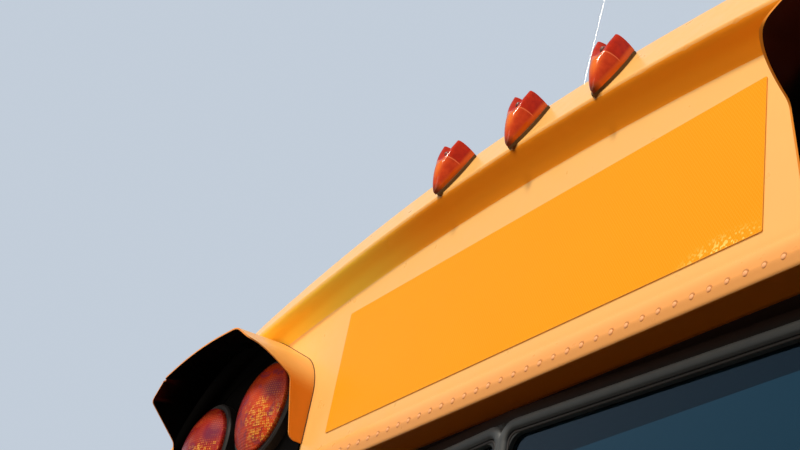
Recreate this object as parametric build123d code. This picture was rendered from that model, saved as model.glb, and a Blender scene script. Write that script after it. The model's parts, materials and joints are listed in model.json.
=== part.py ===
from build123d import *
import os
from math import asin, atan2, cos, degrees, pi, radians, sin, sqrt, tan

os.makedirs("parts", exist_ok=True)

# Upper front section of a school bus body: roof cap, sign, lamps, windscreen.
# Millimetres. The front faces -Y, +X is to the right of someone who looks at
# the front, +Z is up, and the section stands on the underside of its sill.

# Body shell
BODY_WIDTH = 2438.0
SECTION_DEPTH = 555.0      # sign face to the rear edge of the section
SHELL = 30.0               # every wall, outer skin to lining
ROOF_CROWN_R = 3400.0
SHOULDER_R = 490.0
ROOF_RISE = 367.0          # sign centre to the top of the roof
SIGN_Z = 1130.0            # sill underside to the sign centre
CAP_RETURN = 170.0         # how far the cap reaches back over the roof
SKIN_STEP = 2.0            # the roof sheet tucks under the cap by this much
CORNER_R = 150.0           # plan radius of the front corners

# Brow over the sign, which comes down both sides of the face as a band
BROW_FORWARD = 38.0
BROW_SLOPE = 65.0          # degrees from level, from the lip to the roll
BROW_SLOPE_START = 8.0     # lip to where the slope begins
BROW_SLOPE_RUN = 90.0      # front to back, drawn past the roof's outline
BROW_ROLL_R = 70.0
BROW_LIP_RISE = 224.0      # sign centre to the lip, at the centreline
BROW_LIP_R = 4150.0
BROW_LIP_SIDE = 85.0       # side of the body to the lip's upright legs
BROW_LIP_SHOULDER_R = 390.0
BROW_LIP_ROUND = 9.0       # how far the lip is rounded, out and back
COVE_RISE = 182.0          # sign centre to the top of the flat face
COVE_R = 5080.0
COVE_SIDE = 95.0
COVE_SHOULDER_R = 335.0
COVE_HOLLOW = 3.0          # how far the cove sags behind a straight slope

# Riveted lower lip of the cap
CAP_DROP = 200.0           # sign centre to the underside of the cap
LIP_FORWARD = 17.0
LIP_HEIGHT = 58.0
LIP_STRAIGHT = 20.0        # upright part of the lip under its slope

# Sign panel, left blank: with these sizes it is 970 wide
SIGN_MARGIN = 81.0         # inner wall of a hood to the edge of the sign
SIGN_HEIGHT = 236.0
SIGN_THICK = 1.5
SIGN_CORNER_R = 3.0

# Three marker lamps on the brow
MARKER_PITCH = 191.0
MARKER_COUNT = 3
MARKER_LENGTH = 104.0
MARKER_WIDTH = 50.0
MARKER_HEIGHT = 40.0
MARKER_PAD = 5.0           # rubber pad under the lens
MARKER_PAD_RIM = 2.0
MARKER_SEAT = 0.3          # under the pad, over the round of the brow
MARKER_TOE_RISE = 222.0    # sign centre to the toe of each lamp
MARKER_SADDLE_R = 9.0

# Whip aerial on the cap's roof
AERIAL_X = -52.0
AERIAL_Y = 110.0
AERIAL_LENGTH = 490.0
AERIAL_R = 1.5
AERIAL_LEAN = 6.0          # degrees, backwards
AERIAL_BASE_R = 20.0
AERIAL_BASE_HEIGHT = 26.0
AERIAL_SEAT = 0.3

# Warning lamps, placed from the side of the body
LAMP_SIDE = 276.0          # side of the body to the centre of the outer lamp
LAMP_PITCH = 231.0
LAMP_DROP = 16.0           # sign centre to the centre of the inner lamp
LAMP_STEP = 29.0           # the outer lamp sits this much lower
LAMP_R = 102.0
LAMP_RING = 11.0
LAMP_RING_DEPTH = 19.0
LAMP_RING_BEVEL = 3.0
LENS_GAP = 0.3
LENS_WALL = 6.0            # the lens stands this far out of its ring
LENS_BULGE = 26.0
LENS_BANDS = 3             # conical bands that make up the dome
PLATE_THICK = 3.0
PLATE_DROP = 140.0         # sign centre to the bottom of the black plate
PLATE_GAP = 0.5            # plate to the hood's walls

# Sheet hood over each pair of lamps. Places across are counted from its inner
# or its outer wall, rises from the sign's centre.
HOOD_INNER_CLEAR = 44.0    # inner lamp's ring to the inner wall
HOOD_OUTER_CLEAR = 15.0
HOOD_SHEET = 3.0
HOOD_RIDGE_R = 90.0
HOOD_BRIM_R = 12.0
HOOD_CHEEK_R = 20.0
# in front view at its rim
RIM_CORNER_RISE = 28.0
RIM_CORNER_R = 55.0
RIM_RIDGE_IN = 102.0
RIM_RIDGE_RISE = 95.0
RIM_CROWN_IN = 282.0
RIM_CROWN_RISE = 113.0
RIM_CROWN_R = 1200.0
RIM_BRIM_OUT = 44.0
RIM_BRIM_RISE = 98.0
RIM_CHEEK_RISE = 60.0
# in front view where it meets the face
ROOT_CORNER_RISE = 40.0
ROOT_CORNER_R = 110.0
ROOT_RIDGE_IN = 180.0
ROOT_RIDGE_RISE = 146.0
ROOT_CROWN_IN = 300.0
ROOT_CROWN_RISE = 162.0
ROOT_CROWN_R = 450.0
ROOT_BRIM_OUT = 50.0
ROOT_BRIM_RISE = 140.0
ROOT_CHEEK_RISE = 100.0
# in side view, the edge of its walls
HOOD_FORWARD = 137.0
HOOD_SET_BACK = 25.0       # the rim at the outer wall is this much further back
INNER_CHIN_RISE = 47.0
OUTER_CHIN_RISE = 61.0
INNER_KNEE_FORWARD = 52.0
OUTER_KNEE_FORWARD = 43.0
KNEE_DROP = 2.0
INNER_FOOT_FORWARD = 27.0
OUTER_FOOT_FORWARD = 10.0
HOOD_DROP = 116.0
CHIN_R = 14.0
KNEE_R = 22.0
FOOT_R = 15.0
NOTCH_WIDTH = 7.0          # relief slot where the brim was folded
NOTCH_DEPTH = 9.0

# Windscreen
SCREEN_SET_BACK = 20.0     # sign face to the front of the gasket, at the centre
SCREEN_SWEEP = 2.9         # degrees, each pane
GASKET_TOP_DROP = 220.0
GASKET_WIDTH = 26.0
GASKET_CENTRE_WIDTH = 17.0
GASKET_DEPTH = 24.0
GASKET_GAP = 0.3
GASKET_CORNER_R = 8.0
GASKET_BEVEL = 4.0
GLASS_THICK = 6.0
GLASS_RECESS = 7.0         # front of the gasket to the front of the glass
GLASS_BITE = 8.0           # how deep the glass sits in the gasket's groove
PANE_CORNER_R = 22.0
SILL_HEIGHT = 130.0
SCREEN_SIDE = 234.0        # side of the body to the outer edge of a gasket
SOFFIT = 12.0
POST_WIDTH = 32.0
POST_DEPTH = 42.0

# Sides
PILLAR_BACK = 300.0        # sign face to the rear edge of the corner pillar
WINDOW_LOW = 330.0
WINDOW_HIGH = 850.0
WINDOW_MARGIN = 45.0
WINDOW_CORNER_R = 40.0
WINDOW_FRAME = 18.0
BOW_DEPTH = 45.0           # the first roof bow, along the body
BOW_HEIGHT = 32.0

# Wipers
WIPER_PIVOT_X = 190.0
WIPER_PIVOT_Z = 84.0
WIPER_PARK = 19.0          # degrees above level
WIPER_REACH = 330.0
WIPER_BLADE = 450.0
WIPER_BOSS_R = 15.0
WIPER_BUSH_R = 17.0
WIPER_BUSH_OUT = 9.0
WIPER_GAP = 0.4
WIPER_RUBBER_GAP = 1.0     # the rubber stands this far off the glass
WIPER_ARM_WIDTH = 14.0
WIPER_ARM_THICK = 6.0

# Fixing holes in the underside of the side walls
FIXING_R = 5.5
FIXING_DEPTH = 60.0
FIXING_SPACING = 180.0

# Places worked out from the sizes above
HALF = BODY_WIDTH / 2
SCREEN_HALF = HALF - SCREEN_SIDE
LAMP_INNER_X = HALF - LAMP_SIDE - LAMP_PITCH
HOOD_INNER_X = LAMP_INNER_X - LAMP_R - HOOD_INNER_CLEAR
HOOD_OUTER_X = HALF - LAMP_SIDE + LAMP_R + HOOD_OUTER_CLEAR
HOOD_WIDTH = HOOD_OUTER_X - HOOD_INNER_X
SIGN_WIDTH = 2 * (HOOD_INNER_X - SIGN_MARGIN)
ROOF_Z = SIGN_Z + ROOF_RISE
CAP_Z = SIGN_Z - CAP_DROP
CROWN_Z = ROOF_Z - ROOF_CROWN_R
SHOULDER_X = HALF - SHOULDER_R
SHOULDER_Z = CROWN_Z + sqrt((ROOF_CROWN_R - SHOULDER_R) ** 2 - SHOULDER_X ** 2)
SHOULDER_LEAN = atan2(SHOULDER_X, SHOULDER_Z - CROWN_Z)
GASKET_TOP_Z = SIGN_Z - GASKET_TOP_DROP
SWEEP_RUN = tan(radians(SCREEN_SWEEP))
SCREEN_BACK = SCREEN_SET_BACK + GASKET_DEPTH / cos(radians(SCREEN_SWEEP)) + GASKET_GAP
FRONT_HALF = SCREEN_HALF + GASKET_GAP
BACK = SECTION_DEPTH
FAR = 4000.0               # larger than any cut needs
BEYOND = 100.0             # how far a drawn shape runs on past the body
# The shapes are drawn from the sign's face at Y 0, and saved with the origin
# on the floor under the middle of the whole section.
ORIGIN_BACK = (SECTION_DEPTH - HOOD_FORWARD) / 2


def line(a, b):
    return Edge.make_line(a, b)


def arc(a, b, c):
    return Edge.make_three_point_arc(a, b, c)


def face(edges):
    return Face(Wire(edges))


def polygon(points, place):
    """A flat face through points that place() turns into 3D."""
    corners = [place(*p) for p in points]
    return face([line(corners[i - 1], corners[i]) for i in range(len(corners))])


def front_view(y):
    return lambda x, z: Vector(x, y, z)


def side_view(x):
    return lambda y, z: Vector(x, y, z)


def box(x0, x1, y0, y1, z0, z1):
    size = Box(x1 - x0, y1 - y0, z1 - z0)
    return Pos((x0 + x1) / 2, (y0 + y1) / 2, (z0 + z1) / 2) * size


def rounded(corners, place):
    """A flat face through corners, each (across, up, radius), rounded by arcs."""
    stops = []
    for i, (across, up, radius) in enumerate(corners):
        here = Vector(across, up)
        before = (Vector(*corners[i - 1][:2]) - here).normalized()
        after = (Vector(*corners[(i + 1) % len(corners)][:2]) - here).normalized()
        half = radians(before.get_angle(after)) / 2
        reach = radius / tan(half)
        middle = here + (before + after).normalized() * (radius / sin(half) - radius)
        stops.append((here + before * reach, middle, here + after * reach))
    edges = []
    for i, stop in enumerate(stops):
        start, middle, end = [place(point.X, point.Y) for point in stop]
        following = stops[(i + 1) % len(stops)][0]
        if corners[i][2]:
            edges.append(arc(start, middle, end))
        edges.append(line(end, place(following.X, following.Y)))
    return face(edges)


def arch(y, half, top, crown_r, shoulder_r):
    """Front view of an arch on the floor: upright legs, shoulders, a low crown.

    Gives its edges from the left foot to the right one, and the height of the
    crown's centre."""
    middle_x = half - shoulder_r
    centre_z = top - crown_r
    turn_z = centre_z + sqrt((crown_r - shoulder_r) ** 2 - middle_x ** 2)
    lean = atan2(middle_x, turn_z - centre_z)
    join_x = middle_x + shoulder_r * sin(lean)
    join_z = turn_z + shoulder_r * cos(lean)
    between = (lean + pi / 2) / 2
    mid_x = middle_x + shoulder_r * sin(between)
    mid_z = turn_z + shoulder_r * cos(between)
    at = front_view(y)
    return [
        line(at(-half, 0), at(-half, turn_z)),
        arc(at(-half, turn_z), at(-mid_x, mid_z), at(-join_x, join_z)),
        arc(at(-join_x, join_z), at(0, top), at(join_x, join_z)),
        arc(at(join_x, join_z), at(mid_x, mid_z), at(half, turn_z)),
        line(at(half, turn_z), at(half, 0)),
    ]


def inside_arch(y, half, top, crown_r, shoulder_r):
    at = front_view(y)
    edges = arch(y, half, top, crown_r, shoulder_r)
    return face(edges + [line(at(half, 0), at(-half, 0))])


def outside_arch(y, half, top, crown_r, shoulder_r):
    at = front_view(y)
    reach = HALF + BEYOND
    high = ROOF_Z + BEYOND
    edges = arch(y, half, top, crown_r, shoulder_r)
    return face(edges + [
        line(at(half, 0), at(reach, 0)),
        line(at(reach, 0), at(reach, high)),
        line(at(reach, high), at(-reach, high)),
        line(at(-reach, high), at(-reach, 0)),
        line(at(-reach, 0), at(-half, 0)),
    ])


def roof_outline(y, inset):
    """Front view of the body: upright sides, round shoulders, arched crown."""
    return inside_arch(y, HALF - inset, ROOF_Z - inset, ROOF_CROWN_R - inset,
                       SHOULDER_R - inset)


def edges_at(shape, y):
    """The edges of a block's front outline, without the one on the floor."""
    return [e for e in shape.edges() if abs(e.center().Y - y) < 0.01 and e.center().Z > 1
            and e.bounding_box().size.Y < 0.01]


def body_block(front, inset, roll, back):
    """The body's solid outer form, its front edge rolled over all round."""
    block = extrude(roof_outline(front, inset), amount=back - front, dir=(0, 1, 0))
    return fillet(edges_at(block, front), roll)


def brow_block():
    """The body's form as the brow has it: a slope off the lip, then a roll."""
    front = -BROW_FORWARD
    run = BROW_SLOPE_RUN
    sections = []
    for y, grow in ((front, 0), (front + run, run * tan(radians(BROW_SLOPE)))):
        grow += BROW_SLOPE_START
        sections.append(inside_arch(
            y, HALF - BROW_LIP_SIDE + grow, SIGN_Z + BROW_LIP_RISE + grow,
            BROW_LIP_R + grow, BROW_LIP_SHOULDER_R + grow))
    cone = loft(sections, ruled=True)
    cone += extrude(sections[-1], amount=BACK, dir=(0, 1, 0))
    block = cone & extrude(roof_outline(front, 0), amount=BACK - front, dir=(0, 1, 0))
    rim = [e for e in block.edges() if front + 1 < e.bounding_box().min.Y
           and e.bounding_box().max.Y < front + run and e.center().Z > 1]
    return fillet(rim, BROW_ROLL_R)


def over_cap_line(shape, back):
    """What lies above the underside of the cap and ahead of back."""
    return shape & box(-FAR, FAR, -FAR, back, CAP_Z, FAR)


def cap_solid():
    """Face, cove and brow as one solid, before it is hollowed."""
    lower = body_block(0, 0, CORNER_R, BACK)
    lip = BROW_LIP_ROUND
    crown_mid = (BROW_LIP_R + COVE_R) / 2
    shoulder_mid = (BROW_LIP_SHOULDER_R + COVE_SHOULDER_R) / 2
    side_mid = (BROW_LIP_SIDE + COVE_SIDE) / 2
    rise_mid = (BROW_LIP_RISE + COVE_RISE) / 2 + COVE_HOLLOW
    underside = [
        # forward, outwards past the lip's own line
        (BROW_FORWARD, lip),
        (BROW_FORWARD - lip * 0.12, lip * 0.3),
        (BROW_FORWARD - lip, -lip * 0.7),
    ]
    sections = [
        outside_arch(-forward, HALF - BROW_LIP_SIDE + out, SIGN_Z + BROW_LIP_RISE + out,
                     BROW_LIP_R + out, BROW_LIP_SHOULDER_R + out)
        for forward, out in underside]
    sections.append(outside_arch(-BROW_FORWARD * 0.4, HALF - side_mid, SIGN_Z + rise_mid,
                                 crown_mid, shoulder_mid))
    sections.append(outside_arch(0, HALF - COVE_SIDE, SIGN_Z + COVE_RISE, COVE_R,
                                 COVE_SHOULDER_R))
    visor = loft(sections) + extrude(sections[-1], amount=BACK, dir=(0, 1, 0))
    return lower + (brow_block() & visor)


def cap_lip():
    """The riveted lower lip, which runs round the corners as a drip rail."""
    half = HALF + LIP_FORWARD
    front = -LIP_FORWARD
    plan = Pos(0, (front + BACK) / 2, CAP_Z) * Rectangle(2 * half, BACK - front)
    lip = extrude(plan, amount=LIP_HEIGHT)
    corners = [e for e in lip.edges().filter_by(Axis.Z) if e.center().Y < 0]
    lip = fillet(corners, CORNER_R + LIP_FORWARD)
    top = [e for e in lip.edges() if abs(e.center().Z - CAP_Z - LIP_HEIGHT) < 0.01
           and e.center().Y < BACK - 1]
    lip = chamfer(top, LIP_HEIGHT - LIP_STRAIGHT, LIP_FORWARD - 0.5)
    return lip


def front_cap(solid):
    inside = body_block(SHELL, SHELL, CORNER_R - SHELL, BACK + 10)
    return over_cap_line(solid, CAP_RETURN) - inside


def hoop(front, outer_inset, inner_inset):
    """A slice of the body's wall, from a front plane to the rear edge."""
    outer = extrude(roof_outline(front, outer_inset), amount=BACK - front, dir=(0, 1, 0))
    inner = extrude(roof_outline(front - 1, inner_inset), amount=BACK - front + 2,
                    dir=(0, 1, 0))
    return outer - inner


def roof_panel():
    return over_cap_line(hoop(CAP_RETURN, SKIN_STEP, SHELL), BACK)


def roof_bow():
    """The first hoop of the frame, from floor to floor inside the roof."""
    return hoop(BACK - BOW_DEPTH, SHELL, SHELL + BOW_HEIGHT)


def sign_panel():
    flat = Plane.XZ * RectangleRounded(SIGN_WIDTH, SIGN_HEIGHT, SIGN_CORNER_R)
    return Pos(0, 0, SIGN_Z) * extrude(flat, amount=SIGN_THICK)


def marker_place(x):
    """Under a marker lamp's pad: X up the brow's slope from its toe, Z outward."""
    tilt = radians(BROW_SLOPE)
    slope_rise = BROW_LIP_RISE + BROW_SLOPE_START
    forward = BROW_FORWARD + (slope_rise - MARKER_TOE_RISE) / tan(tilt)
    crown_z = SIGN_Z + BROW_LIP_RISE - BROW_LIP_R
    plane = Plane(origin=(0, -forward, SIGN_Z + MARKER_TOE_RISE - crown_z),
                  x_dir=(0, cos(tilt), sin(tilt)), z_dir=(0, -sin(tilt), cos(tilt)))
    drop = BROW_LIP_R - sqrt(BROW_LIP_R ** 2 - x ** 2)
    turn = Pos(0, 0, crown_z) * Rot(0, degrees(asin(x / BROW_LIP_R)), 0)
    return turn * plane.location * Pos(drop / sin(tilt), 0, MARKER_SEAT)


def marker_plan(margin):
    """Teardrop: a pointed toe that widens to a square heel."""
    length = MARKER_LENGTH + margin
    half = MARKER_WIDTH / 2 + margin
    swell = MARKER_LENGTH * 0.42
    toe = (-margin, 0, 0)
    side = (length * 0.78, half, 0)
    return face([
        arc(toe, (swell, half * 0.86, 0), side),
        line(side, (length, half, 0)),
        line((length, half, 0), (length, -half, 0)),
        line((length, -half, 0), (side[0], -half, 0)),
        arc((side[0], -half, 0), (swell, -half * 0.86, 0), toe),
    ])


def marker_lens(x):
    body = extrude(marker_plan(0), amount=MARKER_HEIGHT, dir=(0, 0, 1))
    reach = MARKER_WIDTH
    low = (0, -reach, 5.0)
    crest = (MARKER_LENGTH * 0.42, -reach, MARKER_HEIGHT * 0.8)
    heel = (MARKER_LENGTH, -reach, MARKER_HEIGHT)
    keep = face([
        arc(low, crest, heel),
        line(heel, (MARKER_LENGTH + 1, -reach, -1)),
        line((MARKER_LENGTH + 1, -reach, -1), (0, -reach, -1)),
        line((0, -reach, -1), low),
    ])
    body = body & extrude(keep, amount=2 * reach, dir=(0, 1, 0))
    saddle = Pos(MARKER_LENGTH * 0.86, 0, MARKER_HEIGHT + 2) * Rot(0, 90, 0)
    body -= saddle * Cylinder(MARKER_SADDLE_R, MARKER_LENGTH * 0.5)
    return marker_place(x) * (Pos(0, 0, MARKER_PAD) * body)


def marker_pad(x):
    pad = extrude(marker_plan(MARKER_PAD_RIM), amount=MARKER_PAD, dir=(0, 0, 1))
    return marker_place(x) * pad


def aerial_place():
    """On the roof under the aerial, tilted back with it."""
    drop = ROOF_CROWN_R - sqrt(ROOF_CROWN_R ** 2 - (abs(AERIAL_X) - AERIAL_BASE_R) ** 2)
    return Pos(AERIAL_X, AERIAL_Y, ROOF_Z - drop)


def aerial_base():
    """Low turned foot with a ferrule that carries the whip."""
    foot = turned([
        (0, 0),
        (AERIAL_BASE_R, 0),
        (AERIAL_BASE_R * 0.55, AERIAL_BASE_HEIGHT * 0.55),
        (0, AERIAL_BASE_HEIGHT * 0.55),
    ])
    start = AERIAL_BASE_HEIGHT * 0.3
    ferrule = Rot(-AERIAL_LEAN, 0, 0) * Pos(0, 0, start) * Cylinder(
        AERIAL_BASE_R * 0.3, AERIAL_BASE_HEIGHT - start,
        align=(Align.CENTER, Align.CENTER, Align.MIN))
    return aerial_place() * Pos(0, 0, AERIAL_SEAT) * (foot + ferrule)


def aerial_whip():
    rod = Pos(0, 0, AERIAL_BASE_HEIGHT) * Cylinder(
        AERIAL_R, AERIAL_LENGTH, align=(Align.CENTER, Align.CENTER, Align.MIN))
    return aerial_place() * Pos(0, 0, AERIAL_SEAT) * Rot(-AERIAL_LEAN, 0, 0) * rod


def between(inner, outer, share):
    return inner + (outer - inner) * share


def hood_section(y, inset):
    """Front view of the hood at y, worked out from its rim and its root."""
    share = 1 + y / HOOD_FORWARD
    low = SIGN_Z - HOOD_DROP - BEYOND
    across = (
        # from the inner wall at the rim, at the root
        (0, 0),
        (RIM_RIDGE_IN, ROOT_RIDGE_IN),
        (RIM_CROWN_IN, ROOT_CROWN_IN),
        (HOOD_WIDTH - RIM_BRIM_OUT, HOOD_WIDTH - ROOT_BRIM_OUT),
        (HOOD_WIDTH, HOOD_WIDTH),
    )
    up = (
        # rise at the rim, at the root
        (RIM_CORNER_RISE, ROOT_CORNER_RISE),
        (RIM_RIDGE_RISE, ROOT_RIDGE_RISE),
        (RIM_CROWN_RISE, ROOT_CROWN_RISE),
        (RIM_BRIM_RISE, ROOT_BRIM_RISE),
        (RIM_CHEEK_RISE, ROOT_CHEEK_RISE),
    )
    radii = (between(RIM_CORNER_R, ROOT_CORNER_R, share), HOOD_RIDGE_R,
             between(RIM_CROWN_R, ROOT_CROWN_R, share), HOOD_BRIM_R, HOOD_CHEEK_R)
    corners = [(HOOD_INNER_X, low, 0)]
    for (x0, x1), (z0, z1), radius in zip(across, up, radii):
        corners.append((HOOD_INNER_X + between(x0, x1, share),
                        SIGN_Z + between(z0, z1, share), radius))
    corners.append((HOOD_OUTER_X, low, 0))
    flat = rounded(corners, front_view(y))
    if inset:
        flat = offset(flat, -inset, kind=Kind.INTERSECTION).faces()[0]
    return flat


def hood_form(inset):
    """The hood's outer form, or with an inset the space inside it."""
    ends = (-HOOD_FORWARD - CHIN_R, BROW_FORWARD)
    return loft([hood_section(y, inset) for y in ends], ruled=True)


def hood_keep():
    """Everything behind the edges of the hood's rim and walls."""
    sections = []
    for x in (HOOD_INNER_X - CHIN_R, HOOD_OUTER_X + CHIN_R):
        share = (x - HOOD_INNER_X) / HOOD_WIDTH
        front = HOOD_FORWARD - HOOD_SET_BACK * share
        knee = between(INNER_KNEE_FORWARD, OUTER_KNEE_FORWARD, share)
        foot = between(INNER_FOOT_FORWARD, OUTER_FOOT_FORWARD, share)
        chin_rise = between(INNER_CHIN_RISE, OUTER_CHIN_RISE, share)
        corners = [
            # back from the face, rise, radius
            (BEYOND, ROOT_CROWN_RISE + BEYOND, 0),
            (-front, ROOT_CROWN_RISE + BEYOND, 0),
            (-front, chin_rise, CHIN_R),
            (-knee, -KNEE_DROP, KNEE_R),
            (-foot, -HOOD_DROP, FOOT_R),
            (BEYOND, -HOOD_DROP, 0),
        ]
        sections.append(rounded([(y, SIGN_Z + z, r) for y, z, r in corners], side_view(x)))
    return loft(sections, ruled=True)


def warning_hood(solid):
    sheet = hood_form(0) - hood_form(HOOD_SHEET)
    brim_x = HOOD_OUTER_X - RIM_BRIM_OUT
    rim_y = HOOD_SET_BACK * (1 - RIM_BRIM_OUT / HOOD_WIDTH) - HOOD_FORWARD
    notch = box(brim_x, brim_x + NOTCH_WIDTH, rim_y - NOTCH_DEPTH, rim_y + NOTCH_DEPTH,
                SIGN_Z + OUTER_CHIN_RISE, SIGN_Z + ROOT_BRIM_RISE)
    return (sheet & hood_keep()) - notch - solid


def lamp_plate(solid):
    """Thin black plate inside the hood, which follows the face and the brow."""
    skin = Pos(0, -PLATE_THICK, 0) * solid - solid
    skin = skin & box(0, FAR, -FAR, BROW_FORWARD, SIGN_Z - PLATE_DROP, FAR)
    return skin & hood_form(HOOD_SHEET + PLATE_GAP)


def lamp_axis(index):
    x = LAMP_INNER_X + index * LAMP_PITCH
    z = SIGN_Z - LAMP_DROP - index * LAMP_STEP
    return Pos(x, -PLATE_THICK, z) * Rot(90, 0, 0)


def turned(profile):
    """A solid of revolution from (radius, height) points."""
    flat = polygon(profile, lambda r, h: Vector(r, 0, h))
    return revolve(flat, Axis.Z)


def warning_ring(index):
    inner = LAMP_R - LAMP_RING
    return lamp_axis(index) * turned([
        (inner, 0),
        (LAMP_R, 0),
        (LAMP_R, LAMP_RING_DEPTH - LAMP_RING_BEVEL),
        (LAMP_R - LAMP_RING_BEVEL, LAMP_RING_DEPTH),
        (inner, LAMP_RING_DEPTH),
    ])


def warning_lens(index):
    """A short drum with a dome, whose slope is stepped in conical bands."""
    r = LAMP_R - LAMP_RING - LENS_GAP
    wall = LAMP_RING_DEPTH + LENS_WALL
    ball = (r ** 2 + LENS_BULGE ** 2) / (2 * LENS_BULGE)
    edge = asin(r / ball)
    profile = [(0, 0), (r, 0)]
    for step in range(LENS_BANDS):
        angle = edge * (1 - step / LENS_BANDS)
        profile.append((ball * sin(angle), wall + LENS_BULGE - ball * (1 - cos(angle))))
    profile.append((0, wall + LENS_BULGE))
    return lamp_axis(index) * turned(profile)


# The right-hand pane leans back by SCREEN_SWEEP, in its own flat plane.
def screen_plane():
    lean = radians(SCREEN_SWEEP)
    return Plane(origin=(0, SCREEN_SET_BACK, 0), x_dir=(cos(lean), sin(lean), 0),
                 z_dir=(sin(lean), -cos(lean), 0))


def screen_rect(x0, x1, z0, z1, radius, deep, thick):
    """A rounded plate in the screen plane, its front face deep mm behind it."""
    flat = RectangleRounded(x1 - x0, z1 - z0, radius)
    plate = extrude(Pos((x0 + x1) / 2, (z0 + z1) / 2, -deep - thick) * flat, amount=thick)
    return screen_plane() * plate


def pane_edges(grow):
    low = SILL_HEIGHT + GASKET_WIDTH
    high = GASKET_TOP_Z - GASKET_WIDTH
    return (GASKET_CENTRE_WIDTH + GASKET_GAP - grow, SCREEN_HALF - GASKET_WIDTH + grow,
            low - grow, high + grow)


def windscreen_gasket():
    outer = screen_rect(GASKET_GAP, SCREEN_HALF, SILL_HEIGHT, GASKET_TOP_Z, GASKET_CORNER_R,
                        0, GASKET_DEPTH)
    outer = chamfer(outer.faces().sort_by(Axis.Y)[0].edges(), GASKET_BEVEL)
    x0, x1, z0, z1 = pane_edges(0)
    through = screen_rect(x0, x1, z0, z1, PANE_CORNER_R, -5, GASKET_DEPTH + 10)
    x0, x1, z0, z1 = pane_edges(GLASS_BITE)
    groove = screen_rect(x0, x1, z0, z1, PANE_CORNER_R, GLASS_RECESS, GLASS_THICK)
    return (outer - through - groove) & box(GASKET_GAP, FAR, -FAR, FAR, 0, FAR)


def windscreen_glass():
    x0, x1, z0, z1 = pane_edges(GLASS_BITE - GASKET_GAP)
    return screen_rect(x0, x1, z0, z1, PANE_CORNER_R, GLASS_RECESS + GASKET_GAP,
                       GLASS_THICK - 2 * GASKET_GAP)


def along_screen(points, reach):
    """A side-view profile carried along both halves of the swept screen."""
    flat = polygon(points, side_view(0))
    half = extrude(flat, amount=reach, dir=(1, SWEEP_RUN, 0))
    return half + mirror(half, about=Plane.YZ)


def header_rail():
    """Soffit under the cap's lip, and the rail that carries the gaskets."""
    y = SCREEN_BACK
    rail = along_screen([
        (y, GASKET_TOP_Z - GASKET_WIDTH / 2),
        (y + 30, GASKET_TOP_Z - GASKET_WIDTH / 2),
        (y + 30, CAP_Z),
        (SCREEN_SET_BACK + 8, CAP_Z),
        (SCREEN_SET_BACK + 8, GASKET_TOP_Z + GASKET_GAP),
        (y, GASKET_TOP_Z + GASKET_GAP),
    ], FRONT_HALF)
    soffit = body_block(SHELL, SHELL, CORNER_R - SHELL, BACK)
    return rail + (soffit & box(-FAR, FAR, -FAR, CAP_RETURN, CAP_Z, CAP_Z + SOFFIT))


def cowl_sill():
    """The beam under the glass, with a ledge that carries the gaskets."""
    y = SCREEN_BACK
    sill = along_screen([
        (SCREEN_SET_BACK - 6, 0),
        (SCREEN_SET_BACK - 6, SILL_HEIGHT - 12),
        (SCREEN_SET_BACK + 4, SILL_HEIGHT - GASKET_GAP),
        (y, SILL_HEIGHT - GASKET_GAP),
        (y, SILL_HEIGHT + GASKET_WIDTH / 2),
        (y + 30, SILL_HEIGHT + GASKET_WIDTH / 2),
        (y + 50, SILL_HEIGHT - 20),
        (y + 50, 0),
    ], FRONT_HALF)
    for side in (-1, 1):
        sill += wiper_place(side) * Cylinder(
            WIPER_BUSH_R, 2 * WIPER_BUSH_OUT)
    return sill


def centre_post():
    y = SCREEN_BACK + POST_WIDTH / 2 * SWEEP_RUN
    return box(-POST_WIDTH / 2, POST_WIDTH / 2, y, y + POST_DEPTH,
               SILL_HEIGHT + GASKET_WIDTH / 2, GASKET_TOP_Z - GASKET_WIDTH / 2)


def corner_plan(inset, back):
    """Plan of the right front corner, from the screen's edge to the side."""
    y_front = SCREEN_SET_BACK + FRONT_HALF * SWEEP_RUN - 6 + inset
    x = HALF - inset
    r = CORNER_R - inset
    x_in = FRONT_HALF
    bend = r * (1 - cos(pi / 4))
    return face([
        line(Vector(x_in, y_front, 0), Vector(x - r, y_front, 0)),
        arc(Vector(x - r, y_front, 0), Vector(x - bend, y_front + bend, 0),
            Vector(x, y_front + r, 0)),
        line(Vector(x, y_front + r, 0), Vector(x, back, 0)),
        line(Vector(x, back, 0), Vector(x_in, back, 0)),
        line(Vector(x_in, back, 0), Vector(x_in, y_front, 0)),
    ])


def corner_pillar():
    outer = extrude(corner_plan(0, PILLAR_BACK), amount=CAP_Z, dir=(0, 0, 1))
    inner = extrude(corner_plan(SHELL, PILLAR_BACK + 1), amount=CAP_Z, dir=(0, 0, 1))
    return outer - inner


def side_window(grow, x0, x1):
    """A rounded block through the side wall, where the window is."""
    y0 = PILLAR_BACK + WINDOW_MARGIN
    y1 = BACK - WINDOW_MARGIN
    flat = Plane.YZ * (Pos((y0 + y1) / 2, (WINDOW_LOW + WINDOW_HIGH) / 2)
                       * RectangleRounded(y1 - y0 + 2 * grow, WINDOW_HIGH - WINDOW_LOW + 2 * grow,
                                          WINDOW_CORNER_R + grow))
    return Pos(x0, 0, 0) * extrude(flat, amount=x1 - x0)


def fixing_y(index):
    middle = (PILLAR_BACK + BACK) / 2
    return middle + (index - 0.5) * FIXING_SPACING


def side_panel():
    wall = box(HALF - SHELL, HALF, PILLAR_BACK, BACK, 0, CAP_Z)
    wall -= side_window(0, HALF - SHELL - 1, HALF + 1)
    for index in range(2):
        hole = Cylinder(FIXING_R, 2 * FIXING_DEPTH)
        wall -= Pos(HALF - SHELL / 2, fixing_y(index), 0) * hole
    return wall


def side_window_frame():
    x0 = HALF - SHELL * 0.75
    ring = side_window(-GASKET_GAP, x0, HALF + 3)
    ring -= side_window(-WINDOW_FRAME, x0 - 1, HALF + 4)
    return ring - side_window(-WINDOW_FRAME / 2, HALF - 16, HALF - 10)


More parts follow.
